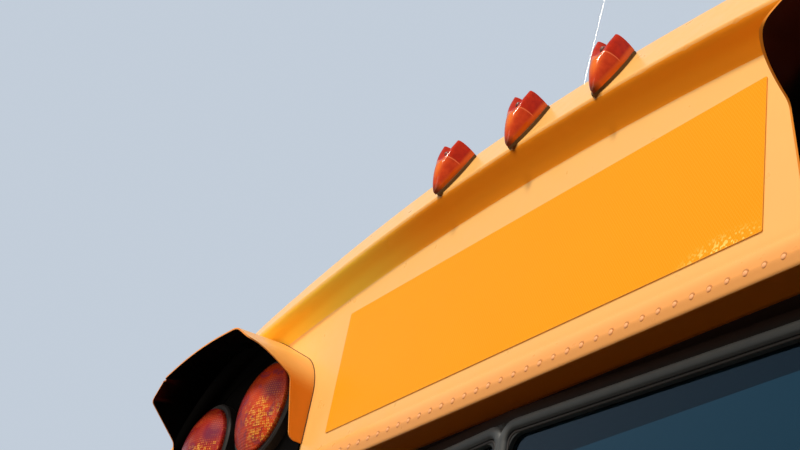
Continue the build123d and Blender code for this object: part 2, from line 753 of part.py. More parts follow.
def side_glass():
    return side_window(-WINDOW_FRAME / 2 - GASKET_GAP, HALF - 16 + GASKET_GAP,
                       HALF - 10 - GASKET_GAP)


def wiper_place(side):
    """On the wiper's pivot: Z points out of the screen, X to the right."""
    lean = radians(SCREEN_SWEEP) * side
    y = SCREEN_SET_BACK - 6 + WIPER_PIVOT_X * SWEEP_RUN
    return Plane(origin=(side * WIPER_PIVOT_X, y, WIPER_PIVOT_Z),
                 x_dir=(cos(lean), sin(lean), 0), z_dir=(sin(lean), -cos(lean), 0)).location


def wiper_arm(side):
    """Boss and sprung arm, drawn parked, pointing outboard."""
    lift = WIPER_BUSH_OUT + WIPER_GAP
    boss = Pos(0, 0, lift) * Cylinder(WIPER_BOSS_R, 14, align=(Align.CENTER, Align.CENTER,
                                                               Align.MIN))
    boss = chamfer(boss.edges().filter_by(GeomType.CIRCLE).sort_by(Axis.Z)[-1], 3)
    turn = WIPER_PARK if side > 0 else 180 - WIPER_PARK
    arm = Pos(WIPER_REACH / 2, 0, lift + 5 + WIPER_ARM_THICK / 2) * Box(
        WIPER_REACH + WIPER_ARM_WIDTH, WIPER_ARM_WIDTH, WIPER_ARM_THICK)
    arm = fillet(arm.edges().filter_by(Axis.Z), WIPER_ARM_WIDTH / 2 - 0.5)
    return wiper_place(side) * (Rot(0, 0, turn) * (boss + arm))


def wiper_blade(side):
    """Level when parked: a spine with its rubber, under the tip of the arm."""
    park = radians(WIPER_PARK)
    x = side * WIPER_REACH * cos(park)
    z = WIPER_REACH * sin(park)
    top = WIPER_BUSH_OUT + WIPER_GAP + 5 - WIPER_GAP
    spine = Pos(x, z, top - 4) * Box(WIPER_BLADE, 12, 8)
    spine = fillet(spine.edges().filter_by(Axis.Z), 5)
    glass = -6 / cos(radians(SCREEN_SWEEP)) - GLASS_RECESS - GASKET_GAP
    reach = top - 8 - glass - WIPER_RUBBER_GAP
    rubber = Pos(x, z, top - 8 - reach / 2) * Box(WIPER_BLADE - 20, 5, reach)
    return wiper_place(side) * (spine + rubber)


def mirrored(shape):
    return mirror(shape, about=Plane.YZ)


def save(shape, name):
    export_step(Pos(0, -ORIGIN_BACK, 0) * shape, f"parts/{name}.step")


def save_pair(shape, name):
    """A right-hand piece and its mirror image."""
    save(shape, f"{name}_right")
    save(mirrored(shape), f"{name}_left")


def build():
    solid = cap_solid() + cap_lip()
    save(front_cap(solid), "front_cap")
    save(roof_panel(), "roof_panel")
    save(roof_bow(), "roof_bow")
    save(sign_panel(), "sign_panel")
    save(header_rail(), "header_rail")
    save(cowl_sill(), "cowl_sill")
    save(centre_post(), "centre_post")
    for index, place in enumerate(("left", "centre", "right")):
        x = (index - (MARKER_COUNT - 1) / 2) * MARKER_PITCH
        save(marker_lens(x), f"marker_lens_{place}")
        save(marker_pad(x), f"marker_pad_{place}")
    save(aerial_base(), "aerial_base")
    save(aerial_whip(), "aerial_whip")
    save_pair(warning_hood(solid), "warning_hood")
    save_pair(lamp_plate(solid), "lamp_plate")
    for index, colour in enumerate(("amber", "red")):
        save_pair(warning_ring(index), f"{colour}_lamp_ring")
        save_pair(warning_lens(index), f"{colour}_lamp_lens")
    save_pair(windscreen_gasket(), "windscreen_gasket")
    save_pair(windscreen_glass(), "windscreen_glass")
    save_pair(corner_pillar(), "corner_pillar")
    save_pair(side_panel(), "side_panel")
    save_pair(side_window_frame(), "side_window_frame")
    save_pair(side_glass(), "side_window_glass")
    for side, place in ((-1, "left"), (1, "right")):
        save(wiper_arm(side), f"wiper_arm_{place}")
        save(wiper_blade(side), f"wiper_blade_{place}")


build()
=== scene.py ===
# %% [markdown]
# School bus front cap and windscreen section.
# The imported solids come in as a fixed frame, in metres, with the front facing
# -Y. This lesson dresses them: every surface gets the finish of the real one,
# and the things too fine for the solids are added, such as rivets, lens
# ribbing, dark seam beads of painted shade and screws.

# %% Load the frame
import json
import math

import bmesh
import bpy
from mathutils import Matrix, Vector
from mathutils.bvhtree import BVHTree


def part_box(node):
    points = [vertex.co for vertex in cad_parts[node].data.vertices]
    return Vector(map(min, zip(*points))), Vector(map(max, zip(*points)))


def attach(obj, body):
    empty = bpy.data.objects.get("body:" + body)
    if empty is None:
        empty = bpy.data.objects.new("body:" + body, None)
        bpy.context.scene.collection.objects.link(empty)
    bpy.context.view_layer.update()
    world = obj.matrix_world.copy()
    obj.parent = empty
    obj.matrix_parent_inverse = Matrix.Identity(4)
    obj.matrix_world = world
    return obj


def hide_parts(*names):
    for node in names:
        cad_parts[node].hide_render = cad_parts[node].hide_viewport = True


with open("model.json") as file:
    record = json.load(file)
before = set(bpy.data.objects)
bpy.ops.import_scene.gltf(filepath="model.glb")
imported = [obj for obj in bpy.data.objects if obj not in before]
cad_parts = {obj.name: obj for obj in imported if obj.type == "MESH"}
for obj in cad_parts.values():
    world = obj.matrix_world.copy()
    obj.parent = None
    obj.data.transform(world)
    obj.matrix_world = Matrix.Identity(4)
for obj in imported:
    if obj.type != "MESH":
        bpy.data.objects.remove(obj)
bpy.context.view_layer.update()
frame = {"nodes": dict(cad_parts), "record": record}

scene = bpy.context.scene
scene.view_settings.view_transform = "Standard"
nodes = frame["nodes"]
slot_of = {s["node"]: s["material_slot"] for s in frame["record"]["subparts"]}
print("solids in the frame:", len(nodes))

# %% Sizes read from the solids
MM = 0.001
sign_low, sign_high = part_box("sign_panel")
FACE_Y = sign_high.y
SIGN_Z = (sign_low.z + sign_high.z) / 2
SIGN_HALF = (sign_high.x - sign_low.x) / 2
SIGN_HALF_HEIGHT = (sign_high.z - sign_low.z) / 2
panel_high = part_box("side_panel_right")[1]
BODY_HALF = panel_high.x
REAR_Y = panel_high.y
CAP_Z = panel_high.z
print("sign face at y", round(FACE_Y, 4), "centre at z", round(SIGN_Z, 4))
print("body half width", round(BODY_HALF, 4), "cap underside", round(CAP_Z, 4))

# %% [markdown]
# The camera stands low, in front of the bus and to the right as one faces it,
# and looks up under the hoods. Its place and lens were solved from the four
# corners of the sign, whose real size is known, so they are written here as an
# offset from the sign's centre and two axes of the picture.

# %% Camera
CAMERA_FROM_SIGN = Vector((1.394, -0.976, -1.012))
CAMERA_RIGHT = Vector((0.56789, 0.80478, 0.17272))
CAMERA_UP = Vector((0.35933, -0.43118, 0.82763))
LENS = 59.71


def placed(name, data):
    """An object of the given data, linked to the scene."""
    obj = bpy.data.objects.new(name, data)
    scene.collection.objects.link(obj)
    return obj


def make_camera():
    data = bpy.data.cameras.new("camera")
    data.lens = LENS
    data.sensor_width = 36
    data.clip_start = 0.05
    data.clip_end = 100
    obj = placed("camera", data)
    back = CAMERA_RIGHT.cross(CAMERA_UP).normalized()
    turn = Matrix((CAMERA_RIGHT, back.cross(CAMERA_RIGHT), back)).transposed()
    place = Vector((0, FACE_Y, SIGN_Z)) + CAMERA_FROM_SIGN
    obj.matrix_world = Matrix.Translation(place) @ turn.to_4x4()
    scene.camera = obj
    return obj


camera = make_camera()
print("camera", [round(v, 3) for v in camera.location])


# %% Colours and shader nodes
def linear(code, alpha=1.0):
    """An sRGB hex colour such as #F5A400 as the linear values Blender wants."""
    out = []
    for i in (1, 3, 5):
        v = int(code[i:i + 2], 16) / 255
        out.append(v / 12.92 if v <= 0.04045 else ((v + 0.055) / 1.055) ** 2.4)
    return (*out, alpha)


def add(tree, kind, links=None, **settings):
    """Adds a node: settings name its properties or inputs, links feed inputs."""
    node = tree.nodes.new(kind)
    for key, value in settings.items():
        if hasattr(node, key):
            setattr(node, key, value)
        else:
            node.inputs[key.replace("_", " ")].default_value = value
    for key, source in (links or {}).items():
        tree.links.new(source, node.inputs[key])
    return node


def feed(socket, value):
    """Sets an input to a number, a colour code or a socket."""
    if isinstance(value, bpy.types.NodeSocket):
        socket.id_data.links.new(value, socket)
    else:
        socket.default_value = linear(value) if isinstance(value, str) else value


def drive(shader, **sources):
    """Sets or links a shader's inputs by name."""
    for key, source in sources.items():
        feed(shader.inputs[key.replace("_", " ")], source)


def material(name, **settings):
    """A material with one Principled shader; returns it, its tree and shader."""
    mat = bpy.data.materials.new(name)
    mat.use_nodes = True
    tree = mat.node_tree
    shader = tree.nodes["Principled BSDF"]
    drive(shader, **settings)
    return mat, tree, shader


# the helpers below add to the node tree of the first socket that they are given
def calc(operation, *values, clamp=False):
    """The result of a Math node on sockets or numbers."""
    node = add(values[0].id_data, "ShaderNodeMath", operation=operation, use_clamp=clamp)
    for socket, value in zip(node.inputs, values):
        feed(socket, value)
    return node.outputs[0]


def blend(factor, first, second):
    """The colour between two, which are colour codes or sockets."""
    node = add(factor.id_data, "ShaderNodeMix", {"Factor": factor}, data_type="RGBA")
    feed(node.inputs[6], first)
    feed(node.inputs[7], second)
    return node.outputs[2]


def remap(value, low, high, to_low=0.0, to_high=1.0, soft=False):
    """A value between low and high as one between to_low and to_high."""
    node = add(value.id_data, "ShaderNodeMapRange", {"Value": value},
               From_Min=low, From_Max=high, To_Min=to_low, To_Max=to_high,
               interpolation_type="SMOOTHSTEP" if soft else "LINEAR")
    return node.outputs[0]


def noise(where, scale, detail=2.0, **settings):
    """Noise whose lumps are about 1 / scale metres apart."""
    node = add(where.id_data, "ShaderNodeTexNoise", {"Vector": where}, Scale=scale,
               Detail=detail, **settings)
    return node.outputs["Fac"]


def split(vector):
    """The X, Y and Z of a vector."""
    return add(vector.id_data, "ShaderNodeSeparateXYZ", {0: vector}).outputs


def reckon(operation, *values):
    """The outputs of a Vector Math node on sockets or points."""
    node = add(values[0].id_data, "ShaderNodeVectorMath", operation=operation)
    for socket, value in zip(node.inputs, values):
        feed(socket, value)
    return node.outputs


def relief(shader, height, strength, distance, **links):
    """Raises the surface by a height, and by a Normal if one is given."""
    bump = add(height.id_data, "ShaderNodeBump", {"Height": height, **links},
               Strength=strength, Distance=distance)
    drive(shader, Normal=bump.outputs["Normal"])


def here(tree):
    """The place on the object, in metres."""
    return add(tree, "ShaderNodeTexCoord").outputs["Object"]


def stored(tree, *names):
    """Values that the mesh stores on its vertices, by name."""
    return [add(tree, "ShaderNodeAttribute", attribute_name=n).outputs["Fac"]
            for n in names]


def waves(where, turns, scale):
    """Soft bands, one set for each turn in degrees about Y."""
    found = []
    for turn in turns:
        turned = add(where.id_data, "ShaderNodeMapping", {"Vector": where},
                     Rotation=(0, math.radians(turn), 0))
        wave = add(where.id_data, "ShaderNodeTexWave", {"Vector": turned.outputs[0]},
                   Scale=scale, Distortion=0.0)
        found.append(wave.outputs["Fac"])
    return found


# %% [markdown]
# The stage is a plain pale floor under an even pale surround, which glass and
# gloss show too. Light that comes back off the floor is held down, so that the
# underside of the brow can go deep orange, as yellow paint does where most of
# its light comes off other yellow paint. One far key lamp stands high and
# straight ahead: the hoods throw no shadow sideways, and the brow's shadow ends
# where the face begins. A wide, low lamp in front keeps that shadow open, and
# a third one behind shows the back.

# %% Floor, surround and light
def make_floor():
    bpy.ops.mesh.primitive_plane_add(size=60, location=(0, 0, 0))
    floor = bpy.context.object
    floor.name = "floor"
    mat, tree, shader = material("pale_floor", Roughness=0.8, Specular_IOR_Level=0.2)
    path = add(tree, "ShaderNodeLightPath")
    tone = blend(path.outputs["Is Diffuse Ray"], "#CBCBC8", "#34322F")
    place = add(tree, "ShaderNodeNewGeometry").outputs["Position"]
    relief(shader, noise(place, 60.0, 4.0), 0.15, 2 * MM)
    drive(shader, Base_Color=tone)
    floor.data.materials.append(mat)


def make_surround():
    world = bpy.data.worlds.new("studio")
    world.use_nodes = True
    tree = world.node_tree
    shown = tree.nodes["Background"]
    drive(shown, Color="#CAD5E2", Strength=0.92)
    soft = add(tree, "ShaderNodeBackground", Color=linear("#C4D8F2"), Strength=0.13)
    path = add(tree, "ShaderNodeLightPath")
    mix = add(tree, "ShaderNodeMixShader", {
        0: path.outputs["Is Diffuse Ray"], 1: shown.outputs[0], 2: soft.outputs[0]})
    tree.links.new(mix.outputs[0], tree.nodes["World Output"].inputs["Surface"])
    scene.world = world


def far_light(name, toward, level, spread, tint="#FFFFFF"):
    """A lamp far away: level 1 lights a white surface that faces it to white."""
    data = bpy.data.lights.new(name, "SUN")
    data.energy = level * math.pi
    data.angle = math.radians(spread)
    data.color = linear(tint)[:3]
    obj = placed(name, data)
    obj.rotation_euler = Vector(toward).to_track_quat("Z", "Y").to_euler()
    return obj


make_floor()
make_surround()
far_light("key", (-0.02, -0.65, 0.76), 0.93, 10, "#FFF4E6")
far_light("front", (0.10, -1.0, 0.02), 0.76, 50, "#FFEFD8")
far_light("rear", (0.45, 1.0, 0.80), 0.35, 30)

# %% [markdown]
# The body is fibreglass and steel sheet sprayed with a yellow enamel. Real
# enamel is never flat: the spray leaves a fine orange peel, about 3 mm from
# crest to crest, weather fades it in soft patches, and dust settles on what
# faces up. It could be one colour with a gloss value, but then large panels
# look like plastic. The lining is painted pale grey, and both are one piece
# here, so the shader tells inside from outside by which way a surface faces
# from a point inside the cab.

# %% Enamel of the body
CAB_POINT = (0.0, 0.30, 0.55)


def outer_and_lining():
    # enamel: a dielectric, IOR 1.5, gloss roughness about 0.3 after some years
    mat, tree, shader = material("school_bus_enamel", IOR=1.5)
    where = here(tree)
    x, y, z = split(where)
    facing = add(tree, "ShaderNodeNewGeometry").outputs
    _, turned_y, turned_z = split(facing["True Normal"])
    outer_tone = blend(noise(where, 2.3, 3.0), "#F6BB64", "#F7C06E")
    # undersides are painted a deep orange, painted shade for yellow paint that
    # is lit mostly by other yellow paint. Towards the left end the cove is painted
    # yellower, a painted pool of the sun that gets in there, and the lowest
    # underside, over the windscreen, is painted redder, as deeper shade
    painted_sun_runout = remap(x, -0.20, -0.52, soft=True)
    cove_shade_tone = blend(painted_sun_runout, "#FC981E", "#FFD046")
    soffit_shade_mask = remap(z, SIGN_Z - 0.12, SIGN_Z - 0.17)
    underside_shade_tone = blend(soffit_shade_mask, cove_shade_tone, "#FA7E08")
    underside_shade = remap(turned_z, -0.08, -0.50, soft=True)
    paint = blend(underside_shade, outer_tone, underside_shade_tone)
    # the lining: faces that look at the cab's middle, well behind the sign
    from_cab = reckon("SUBTRACT", where, CAB_POINT)[0]
    outward = reckon("DOT_PRODUCT", from_cab, facing["True Normal"])["Value"]
    inward = calc("LESS_THAN", outward, 0.0)
    rearward = calc("GREATER_THAN", turned_y, 0.6)
    deep = calc("GREATER_THAN", y, FACE_Y + 165 * MM)
    lined = calc("MULTIPLY", inward, calc("MAXIMUM", rearward, deep))
    # the flange under the sign is lined on top too, which faces up
    flat = calc("GREATER_THAN", turned_z, 0.4)
    low = calc("COMPARE", z, CAP_Z, 0.09)
    either = calc("MAXIMUM", lined, calc("MULTIPLY", flat, low))
    behind = calc("GREATER_THAN", y, FACE_Y + 15 * MM)
    within = calc("LESS_THAN", calc("ABSOLUTE", x), BODY_HALF - 10 * MM)
    inside = calc("MULTIPLY", calc("MULTIPLY", either, behind), within)
    colour = blend(inside, paint, "#AEB2AC")
    # dust on what faces up, thin enough to dull the colour only a little
    speck = noise(where, 35.0, 5.0)
    lie = calc("MULTIPLY", split(facing["Normal"])[2], speck)
    thin = calc("MULTIPLY", lie, 0.22, clamp=True)
    dusty = blend(thin, colour, "#B9A88C")
    # moulded edges are never sharp, and the lip under the sign rolls under: its
    # normals lean down, by 20 degrees at the row of rivets
    rounded = add(tree, "ShaderNodeBevel", samples=6, Radius=10 * MM)
    rolled = remap(z, SIGN_Z - 0.126, SIGN_Z - 0.172, 0.0, 0.24, soft=True)
    lean = calc("MULTIPLY", rolled, calc("GREATER_THAN", z, CAP_Z))
    down = add(tree, "ShaderNodeCombineXYZ", {"Z": lean})
    leant = reckon("SUBTRACT", rounded.outputs["Normal"], down.outputs[0])[0]
    unit = reckon("NORMALIZE", leant)[0]
    relief(shader, noise(where, 330.0, 1.0), 0.10, 0.3 * MM, Normal=unit)
    # dust takes the gloss off what faces up, road film off what faces down
    clean = remap(underside_shade, 0.0, 1.0, 0.5, 0.06)
    dull = remap(turned_z, 0.15, 0.80, 1.0, 0.03)
    # where the lip rolls under it is painted darker and redder than the face: painted shade
    outside = remap(inside, 0.0, 1.0, 3.4, 0.0)
    lip_shade = calc("MULTIPLY", lean, outside, clamp=True)
    drive(shader, Base_Color=blend(lip_shade, dusty, "#EA9C4E"),
          Roughness=remap(speck, 0.3, 0.7, 0.27, 0.40),
          Specular_IOR_Level=calc("MULTIPLY", clean, dull))
    return mat


def plain_enamel(name, code, second, rough, peel=0.08, shine=0.5, wall_shade_tone=None):
    """Sprayed enamel with soft patches, orange peel and, if given, walls painted deeper as
    painted shade.
    """
    mat, tree, shader = material(name, Roughness=rough, IOR=1.5, Specular_IOR_Level=shine)
    where = here(tree)
    colour = blend(noise(where, 9.0, 5.0), code, second)
    if wall_shade_tone:
        facing = add(tree, "ShaderNodeNewGeometry")
        turned_z = split(facing.outputs["True Normal"])[2]
        # walls that face sideways or down take the deeper orange: painted shade
        wall = remap(turned_z, 0.45, -0.05, soft=True)
        colour = blend(wall, colour, wall_shade_tone)
    relief(shader, noise(where, 380.0, 2.0), peel, 0.4 * MM)
    drive(shader, Base_Color=colour)
    return mat


yellow = outer_and_lining()
# the outer enamel again, for pieces where the inside is not lined; its walls get painted shade
hood_yellow = plain_enamel("hood_enamel", "#F6BB64", "#F7C06E", 0.40, 0.08, 0.3, "#F0911F")
# cheap bake-on black: half gloss, shows brown where it catches light
black = plain_enamel("black_enamel", "#040303", "#090706", 0.22, 0.05, 0.3)
matt = plain_enamel("matt_black_enamel", "#040303", "#070605", 0.7, 0.05, 0.02)
grey = plain_enamel("lining_enamel", "#AEB2AC", "#A3A8A2", 0.45)
print("enamels:", yellow.name, hood_yellow.name, black.name, matt.name, grey.name)

# %% [markdown]
# The sign is a blank panel of prismatic sheeting: micro prisms under a clear
# film, sealed in a net of thin lines. The net is about 4 mm wide and runs
# slanted. Seen from outside a headlamp's beam, the film is a flat deep yellow
# with the net just visible, and its cut edge shows as a thin dark line. It
# could be modelled as prisms, but at 0.1 mm they would never be seen.

# %% Sheeting of the sign
NET_SCALE = 78.0          # a wave of scale 78 repeats every 4 mm
CUT_EDGE = 0.5 * MM


def sheeting():
    # acrylic film: IOR 1.49, smooth
    mat, tree, shader = material("prismatic_sheeting", Roughness=0.38, IOR=1.49,
                                 Specular_IOR_Level=0.08)
    where = here(tree)
    nets = [calc("POWER", w, 12.0) for w in waves(where, (32, -32), NET_SCALE)]
    net = calc("MAXIMUM", *nets)
    film = blend(noise(where, 5.0, 2.0), "#F49D0A", "#F6A20E")
    netted = blend(calc("MULTIPLY", net, 0.30), film, "#FFBE55")
    # painted glints: in one low corner, cells of the net are painted pale yellow, as prisms
    # that line up with the lamp glitter
    squash = 0.4
    flat = add(tree, "ShaderNodeMapping", {"Vector": where}, Scale=(squash, 0.0, 1.0))
    corner = ((SIGN_HALF - 0.06) * squash, 0, SIGN_Z - SIGN_HALF_HEIGHT - 0.01)
    glint_near = remap(reckon("DISTANCE", flat.outputs[0], corner)["Value"], 0.036, 0.012)
    cells = add(tree, "ShaderNodeTexVoronoi", {"Vector": where}, Scale=330.0)
    glint_cells = calc("GREATER_THAN", cells.outputs["Color"], 0.62)
    with_painted_glints = blend(calc("MULTIPLY", glint_cells, glint_near), netted, "#FFE37A")
    # the cut edge: close to the panel's outline the film is painted a paler, duller
    # orange: painted light that lifts the sheet's shaded edge, so it shows as a thin line only
    x, _, z = split(where)
    near_side = calc("GREATER_THAN", calc("ABSOLUTE", x), SIGN_HALF - CUT_EDGE)
    height = calc("ABSOLUTE", calc("SUBTRACT", z, SIGN_Z))
    near_end = calc("GREATER_THAN", height, SIGN_HALF_HEIGHT - CUT_EDGE)
    edged = blend(calc("MAXIMUM", near_side, near_end), with_painted_glints, "#E2A04A")
    relief(shader, net, 0.25, 0.1 * MM)
    drive(shader, Base_Color=edged)
    return mat


sheet = sheeting()
print("sheeting net every 4 mm")

# %% [markdown]
# Rubber is matt and slightly mottled. The windscreen's gasket has greyed in the
# weather, the lamp pads are brown with dust, and the lamp bezels are near black.

# %% Rubber
SWEEP = 0.056             # the windscreen runs back 56 mm in a metre


def swept_depth(where):
    """Depth behind the middle of the windscreen's swept plane."""
    x, y, _ = split(where)
    return calc("MULTIPLY_ADD", calc("ABSOLUTE", x), -SWEEP, y)


def rubber(name, code, second, rough, underside_shade=None, cab_painted_light=None):
    """Mottled rubber, darker below and paler in the cab where those colours are given: painted
    shade below, painted light in the cab.
    """
    # vulcanised rubber: IOR 1.52, no gloss
    mat, tree, shader = material(name, Roughness=rough, IOR=1.52, Specular_IOR_Level=0.25)
    where = here(tree)
    mottle = noise(where, 45.0, 6.0)
    colour = blend(mottle, code, second)
    # what faces down is painted darker: painted shade
    if underside_shade:
        facing = add(tree, "ShaderNodeNewGeometry")
        turned_z = split(facing.outputs["Normal"])[2]
        colour = blend(remap(turned_z, 0.20, -0.55), colour, underside_shade)
    # inside the cab the rubber is painted pale: painted light on the strip behind the glass
    if cab_painted_light:
        inside = calc("GREATER_THAN", swept_depth(where), FACE_Y + 30 * MM)
        colour = blend(inside, colour, cab_painted_light)
    relief(shader, mottle, 0.2, 0.5 * MM)
    drive(shader, Base_Color=colour)
    return mat


# the gasket's lobe is painted near black where it faces down: painted shade
gasket = rubber("gasket_rubber", "#484C50", "#585C5C", 0.5, "#131516")
# inside the cab this gasket is painted pale blue-grey: painted light
screen_gasket = rubber("screen_gasket_rubber", "#1B1D1E", "#262828", 0.6, None, "#9DB4BC")
pad = rubber("pad_rubber", "#54402B", "#75603F", 0.8)
bezel = rubber("bezel_rubber", "#120D0B", "#1D1714", 0.6)
# dark brown for the hood seam beads: painted shade
seam_shade_rubber = rubber("seam_shade_rubber", "#3A2A18", "#5A3D1C", 0.6)

# %% [markdown]
# Glass and metal. The windscreen is laminated glass with a green-grey tint, so
# that what is behind it stays visible but dark. A thin coat of road film gives
# it a little haze.

# %% Glass and bare metal
def tinted_glass():
    # soda-lime glass: IOR 1.52
    # its reflections are tinted blue: a painted reflection of a blue sky
    mat, tree, shader = material("laminated_glass", Base_Color="#1A3C49", IOR=1.52,
                                 Transmission_Weight=1.0, Specular_Tint="#7DB4D6")
    film = noise(here(tree), 6.0, 6.0)
    drive(shader, Roughness=remap(film, 0.35, 0.75, 0.0, 0.06))
    return mat


def spring_steel():
    # stainless steel: metallic 1, brushed along its length
    mat, tree, shader = material("stainless_steel", Base_Color="#C9C7C2", Metallic=1.0)
    stretched = add(tree, "ShaderNodeMapping", {"Vector": here(tree)}, Scale=(900, 900, 40))
    brush = noise(stretched.outputs[0], 1.0)
    drive(shader, Roughness=remap(brush, 0.0, 1.0, 0.18, 0.38))
    return mat


glass = tinted_glass()
steel = spring_steel()

# %% [markdown]
# The lenses are moulded polycarbonate. Its colour is in the body of the
# plastic, so it is deeper where the eye looks along the wall than where it
# looks straight through. The warning lenses also carry square pillows, 5 mm
# wide, which spread the beam. Their glints, rows of small orange and yellow
# squares, are painted light, and so are the dark and violet reflections.

# %% Lens plastics
PILLOW = 5 * MM


def lens_plastic(name, through, along, rough=0.12):
    # polycarbonate: IOR 1.58, polished by the mould
    mat, tree, shader = material(name, Roughness=rough, IOR=1.58, Specular_IOR_Level=0.05,
                                 Coat_Weight=0.05, Coat_Roughness=0.05)
    where = here(tree)
    look = add(tree, "ShaderNodeLayerWeight", Blend=0.45)
    depth = blend(look.outputs["Facing"], through, along)
    # painted light: near one spot, where the sun would strike, the glints are painted
    # densest, and near another a violet patch is painted, a painted reflection of the sky
    u, v = stored(tree, "u", "v")
    spot = add(tree, "ShaderNodeCombineXYZ", {"X": u, "Y": v}).outputs[0]
    from_sun = reckon("DISTANCE", spot, (0.48, -0.52, 0))["Value"]
    from_sky_spot = reckon("DISTANCE", spot, (0.70, 0.20, 0))["Value"]
    glint_near = remap(from_sun, 0.85, 0.10)
    sky_violet = remap(from_sky_spot, 0.38, 0.12, 0.0, 0.8)
    grid = calc("MULTIPLY", *waves(where, (0, 90), 2 * math.pi / (20 * PILLOW)))
    # dark and violet patches are painted on: painted reflections of the reflector behind the
    # lens and of the sky
    patch = noise(where, 26.0, 3.0, Distortion=1.2)
    shade = remap(patch, 0.54, 0.70, 0.0, 0.75)
    painted_reflections = blend(calc("MAXIMUM", shade, sky_violet), depth, "#6E2B45")
    # the pillows between the patches are painted a glowing orange and a few of them
    # yellow: painted glow and painted glints, densest near the sun's spot
    glow_amount = remap(patch, 0.55, 0.38, 0.0, 0.9)
    painted_lit = calc("MULTIPLY", glow_amount, remap(glint_near, 0.0, 1.0, 0.45, 1.0))
    painted_glow = blend(calc("MULTIPLY", grid, painted_lit), painted_reflections, "#FF8A3C")
    cells = add(tree, "ShaderNodeTexVoronoi", {"Vector": where},
                Scale=1 / PILLOW, Randomness=0.0)
    area = remap(glint_near, 0.0, 1.0, 0.38, 0.86)
    chance = calc("MULTIPLY", cells.outputs["Color"], area)
    rare = remap(chance, 0.41, 0.50)
    painted_glints = calc("MULTIPLY", rare, calc("POWER", grid, 0.4))
    relief(shader, grid, 0.8, 0.7 * MM)
    drive(shader, Base_Color=blend(painted_glints, painted_glow, "#FFC24A"))
    return mat


MARKER_SEAM = 0.60        # where the double part of a marker lens begins


def marker_plastic():
    """One lens in several depths, told apart by its own 'along' and 'across'."""
    # polycarbonate again: IOR 1.58
    mat, tree, shader = material("marker_lens_plastic", Roughness=0.14, IOR=1.58,
                                 Specular_IOR_Level=0.06, Coat_Weight=0.10,
                                 Coat_Roughness=0.04)
    along, across, rise = stored(tree, "along", "across", "rise")
    cloud = noise(here(tree), 90.0, 3.0)
    body = blend(cloud, "#B82808", "#EA5A22")
    # the thin front of the shell is painted a glowing orange: a painted glow, for light from
    # the reflector behind it
    middle = remap(calc("ABSOLUTE", across), 0.75, 0.15, soft=True)
    front = remap(along, 0.12, 0.40, soft=True)
    painted_front_glow = blend(calc("MULTIPLY", middle, front), body, "#F57A26")
    # behind the seam the shell is coloured deep red
    behind = calc("GREATER_THAN", along, MARKER_SEAM)
    heel_red = blend(behind, painted_front_glow, blend(cloud, "#A21A04", "#DC3A0C"))
    seam = calc("COMPARE", along, MARKER_SEAM, 0.010)
    lined = blend(seam, heel_red, "#EE7A4C")
    # the rim catches light along its foot
    painted_lit = blend(remap(rise, 0.30, 0.12, soft=True), lined, "#F0701C")
    # where the eye looks along the wall, the plastic is deep and dark
    look = add(tree, "ShaderNodeLayerWeight", Blend=0.30)
    edge = remap(look.outputs["Facing"], 0.25, 0.95, 0.0, 0.75)
    walled = blend(edge, painted_lit, "#7C1204")
    # the pointed toe is darker, a dark brown-red
    toe = remap(along, 0.14, 0.03, 0.0, 0.85)
    relief(shader, cloud, 0.15, 1.0 * MM)
    drive(shader, Base_Color=blend(toe, walled, "#4A1406"))
    return mat


amber_lens = lens_plastic("amber_lens_plastic", "#EA5020", "#86180A")
red_lens = lens_plastic("red_lens_plastic", "#B6220F", "#640A12")
marker_lens = marker_plastic()
print("lens plastics:", amber_lens.name, red_lens.name, marker_lens.name)

# %% [markdown]
# The header rail shows on both sides of the glass. Outside it is painted black
# just above the gasket and dark brown above that: painted shade for the deep
# shadow under the cap's overhang. Inside it is lining grey. The boundary runs
# with the glass, which is swept back from the middle.

# %% Finish of every solid
def rail_finish():
    # steel, matt: painted near black outside as painted shade, satin grey inside
    mat, tree, shader = material("header_rail_paint", Roughness=0.5, IOR=1.5,
                                 Specular_IOR_Level=0.2)
    where = here(tree)
    inside = calc("GREATER_THAN", swept_depth(where), FACE_Y + 43 * MM)
    # black for 12 mm above the gasket, a painted contact shadow; above it dark brown, painted
    # shade
    mottle = noise(where, 40.0, 4.0)
    height = calc("MULTIPLY_ADD", mottle, 4 * MM, split(where)[2])
    gasket_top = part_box("windscreen_gasket_right")[1].z
    clear = remap(height, gasket_top + 6 * MM, gasket_top + 18 * MM, soft=True)
    overhang_shade = blend(clear, "#0E0906", "#22120A")
    drive(shader, Base_Color=blend(inside, overhang_shade, "#7B8989"))
    return mat


FINISH = {
    "yellow_paint": yellow, "inner_steel": grey, "reflective_sheet": sheet,
    "marker_amber": marker_lens, "pad_rubber": pad, "black_paint": black,
    "amber_lens": amber_lens, "red_lens": red_lens, "black_rubber": bezel,
    "gasket_rubber": gasket, "window_glass": glass, "stainless": steel,
}
for name, obj in nodes.items():
    obj.data.materials.clear()
    obj.data.materials.append(FINISH[slot_of[name]])
nodes["header_rail"].data.materials[0] = rail_finish()
for side in ("left", "right"):
    nodes["lamp_plate_" + side].data.materials[0] = matt
    nodes["windscreen_gasket_" + side].data.materials[0] = screen_gasket
print("finished solids:", len(nodes), "with", len(FINISH) + 1, "materials")


# %% Reading shapes off the solids
def world_copy(name):
    """A solid's mesh as a bmesh in world metres, to measure or to work on."""
    shape = bmesh.new()
    shape.from_mesh(nodes[name].data)
    shape.transform(nodes[name].matrix_world)
    shape.normal_update()
    return shape


def tree_of(*names):
    """One search tree over the surfaces of several solids."""
    joined = bmesh.new()
    for name in names:
        joined.from_mesh(nodes[name].data)
    found = BVHTree.FromBMesh(joined)
    joined.free()
    return found


def piece(name, mesh, body="body"):
    """Links a mesh as a piece that moves with a body."""
    obj = placed(name, mesh)
    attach(obj, body)
    return obj


